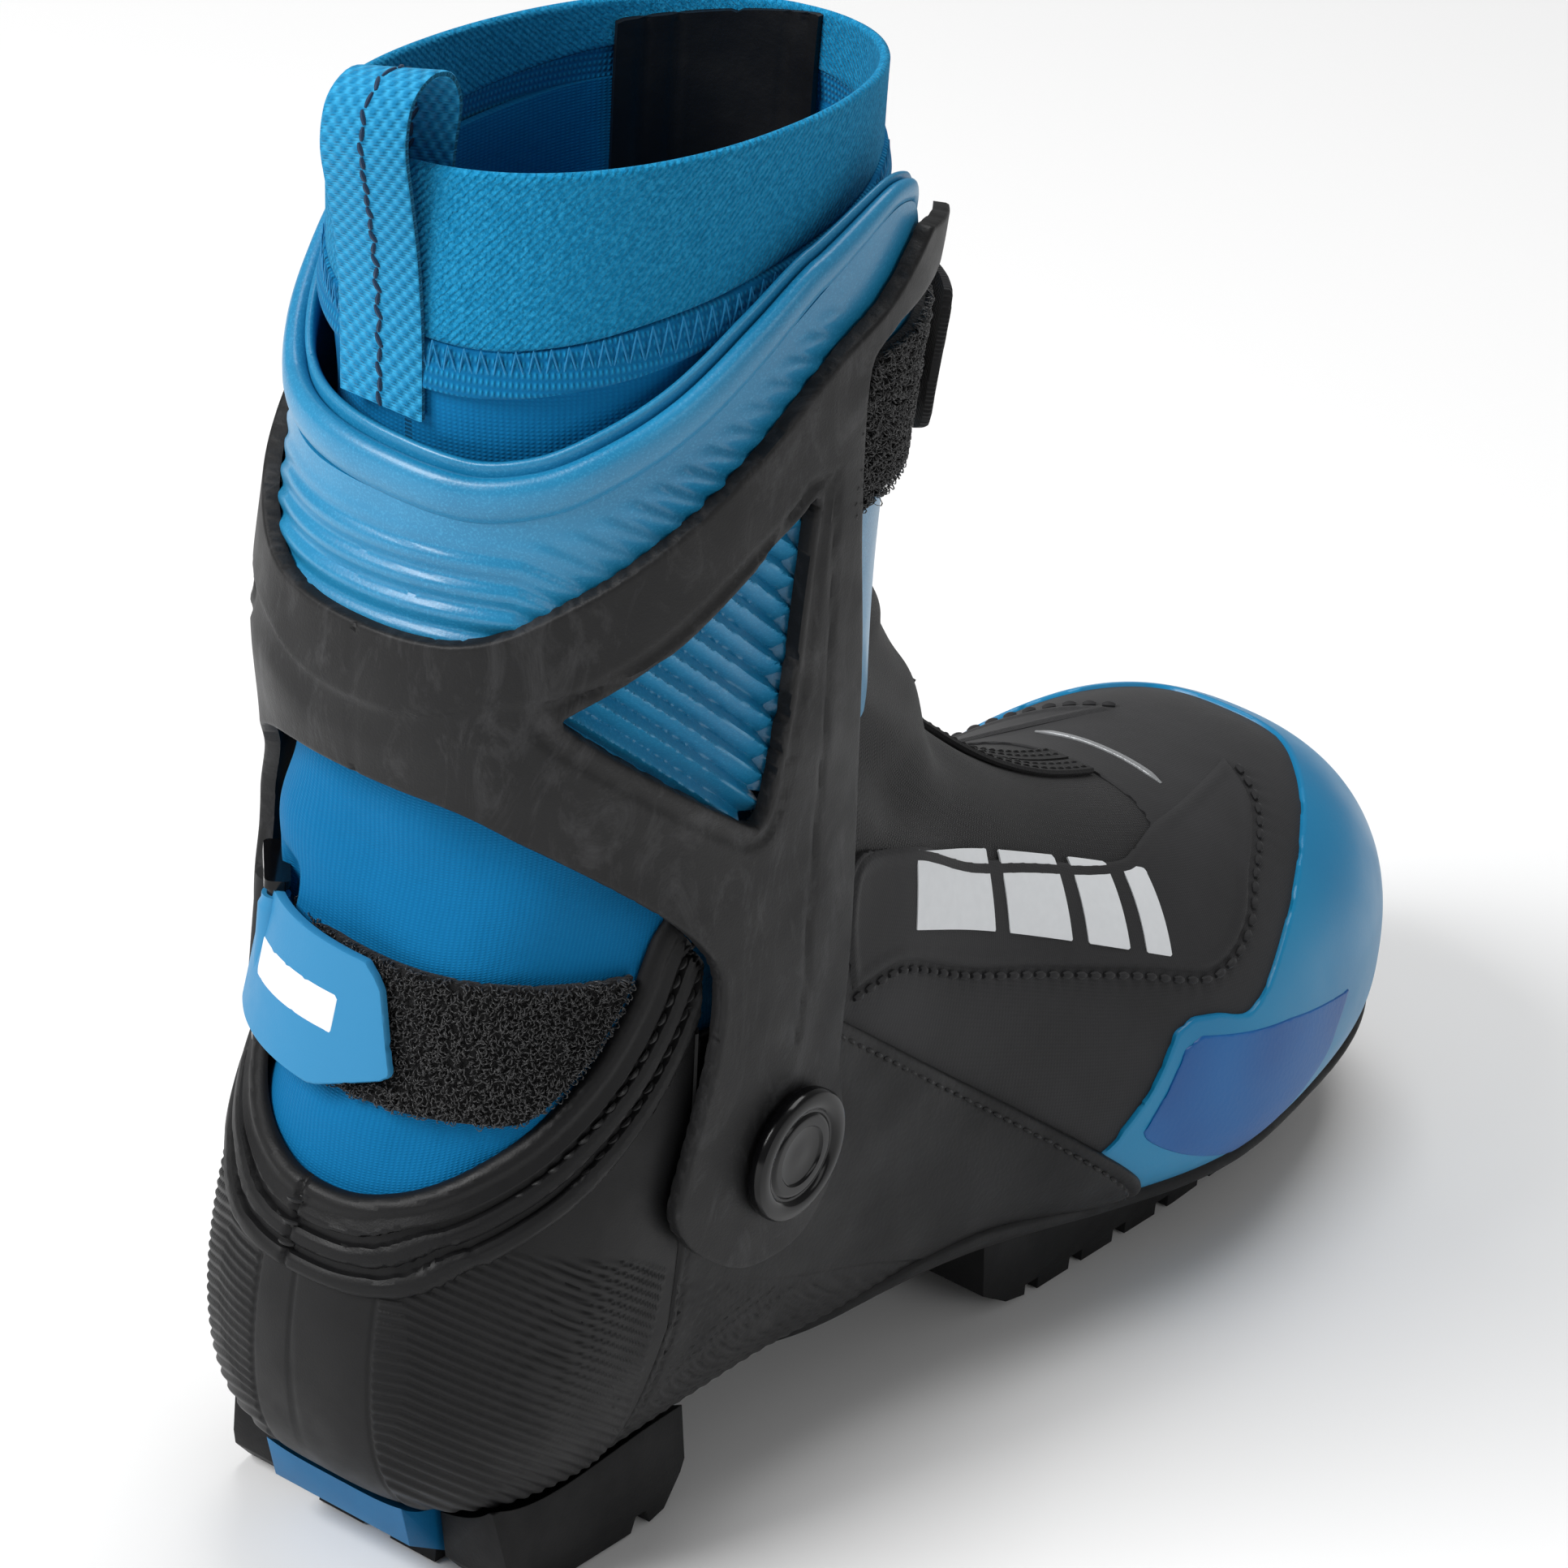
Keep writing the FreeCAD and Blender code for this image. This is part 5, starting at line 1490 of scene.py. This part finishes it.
# CAD nodes that show with rounded edges: bevel width, finish, slot
SOFTENED = {
    "heel_lug_lateral": (.9, "tread_rubber", "tread_black"),
    "heel_lug_medial": (.9, "tread_rubber", "tread_black"),
    "heel_insert": (.7, "heel_plastic_blue", "heel_blue"),
    "forefoot_tread_lateral": (.5, "tread_rubber", "tread_black"),
    "forefoot_tread_medial": (.5, "tread_rubber", "tread_black"),
    "toe_bar_block": (.6, "block_plastic", "block_black"),
}


def soften(node, width, finish):
    """Copy of a CAD node with rounded edges, which takes the node's place in the picture."""
    source = frame["nodes"][node]
    build = bmesh.new()
    build.from_mesh(source.data)
    bmesh.ops.remove_doubles(build, verts=build.verts, dist=1e-6)
    bmesh.ops.dissolve_limit(build, angle_limit=.02, verts=build.verts, edges=build.edges)
    bmesh.ops.recalc_face_normals(build, faces=build.faces)
    mesh = bpy.data.meshes.new(node + "_round")
    build.to_mesh(mesh)
    build.free()
    obj = bpy.data.objects.new(node + "_round", mesh)
    bpy.context.scene.collection.objects.link(obj)
    obj.matrix_world = source.matrix_world
    bevel = obj.modifiers.new("edges", "BEVEL")
    bevel.width = width * MM
    bevel.segments = 3
    bevel.limit_method = "ANGLE"
    bevel.angle_limit = math.radians(24)
    bevel.use_clamp_overlap = True
    bpy.context.view_layer.update()
    done = bpy.data.meshes.new_from_object(obj.evaluated_get(bpy.context.evaluated_depsgraph_get()))
    obj.modifiers.clear()
    obj.data = done
    done.name = node + "_round"
    done.materials.clear()
    done.materials.append(FINISH[finish])
    done.polygons.foreach_set("use_smooth", [True] * len(done.polygons))
    done.set_sharp_from_angle(angle=math.radians(35))
    return obj


def dress_nodes():
    for node, (width, finish, slot_name) in SOFTENED.items():
        keep(soften(node, width, finish), "boot", slot_name, node)
    for finish, nodes in CARRIED.items():
        for node in nodes:
            mesh = frame["nodes"][node].data
            mesh.materials.clear()
            mesh.materials.append(FINISH[finish])


# ---- stage -------------------------------------------------------------------------------
def add_light(name, place, size, power):
    data = bpy.data.lights.new(name, "AREA")
    data.shape = "RECTANGLE"
    data.size, data.size_y = size
    data.energy = power
    obj = bpy.data.objects.new(name, data)
    obj.location = place
    obj.rotation_euler = (Vector((0, 0, .12)) - Vector(place)).to_track_quat("-Z", "Y").to_euler()
    bpy.context.scene.collection.objects.link(obj)


def make_stage():
    mesh = bpy.data.meshes.new("floor")
    mesh.from_pydata([(-6, -6, 0), (6, -6, 0), (6, 6, 0), (-6, 6, 0)], [], [(0, 1, 2, 3)])
    floor = bpy.data.objects.new("floor", mesh)
    floor.location.z = -.0005
    bpy.context.scene.collection.objects.link(floor)
    paint = Finish("floor_paint", (.9, .9, .9), .9, specular=.1)
    paint.bump(paint.noise(3), .01)
    mesh.materials.append(paint.material)

    world = bpy.data.worlds.new("studio")
    bpy.context.scene.world = world
    world.use_nodes = True
    sky = world.node_tree.nodes["Background"].inputs
    sky["Color"].default_value = (1, 1, 1, 1)
    sky["Strength"].default_value = .26
    add_light("key", (-1.3, .55, 1.2), (.8, .8), 29)
    add_light("side", (-.2, -1.5, .7), (1.2, .5), 3)
    add_light("top", (.35, .2, 1.6), (1.0, 1.0), 14)
    bpy.context.scene.view_settings.view_transform = "Standard"

    data = bpy.data.cameras.new("camera")
    data.sensor_width = 36
    data.lens = 159.72
    data.clip_start = .05
    data.clip_end = 30
    camera = bpy.data.objects.new("camera", data)
    bpy.context.scene.collection.objects.link(camera)
    look = Vector((.7297, .5030, -.4635)).normalized()
    right = Vector((.5675, -.8233, 0)).normalized()
    up = right.cross(look).normalized()
    roll = math.radians(6.62)
    x = right * math.cos(roll) + up * math.sin(roll)
    y = -right * math.sin(roll) + up * math.cos(roll)
    turn = Matrix((x, y, -look)).transposed().to_4x4()
    camera.matrix_world = Matrix.Translation((-.9060, -.6053, .6692)) @ turn
    bpy.context.scene.camera = camera


make_stage()
make_sole()
make_heel()
make_side_shells()
make_upper()
crossing = make_ankle()
make_collar()
make_loop()
make_cuff()
make_liner()
make_heel_strap()
make_cuff_strap()
make_pivots()
dress_nodes()
for piece in crossing:
    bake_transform(piece)
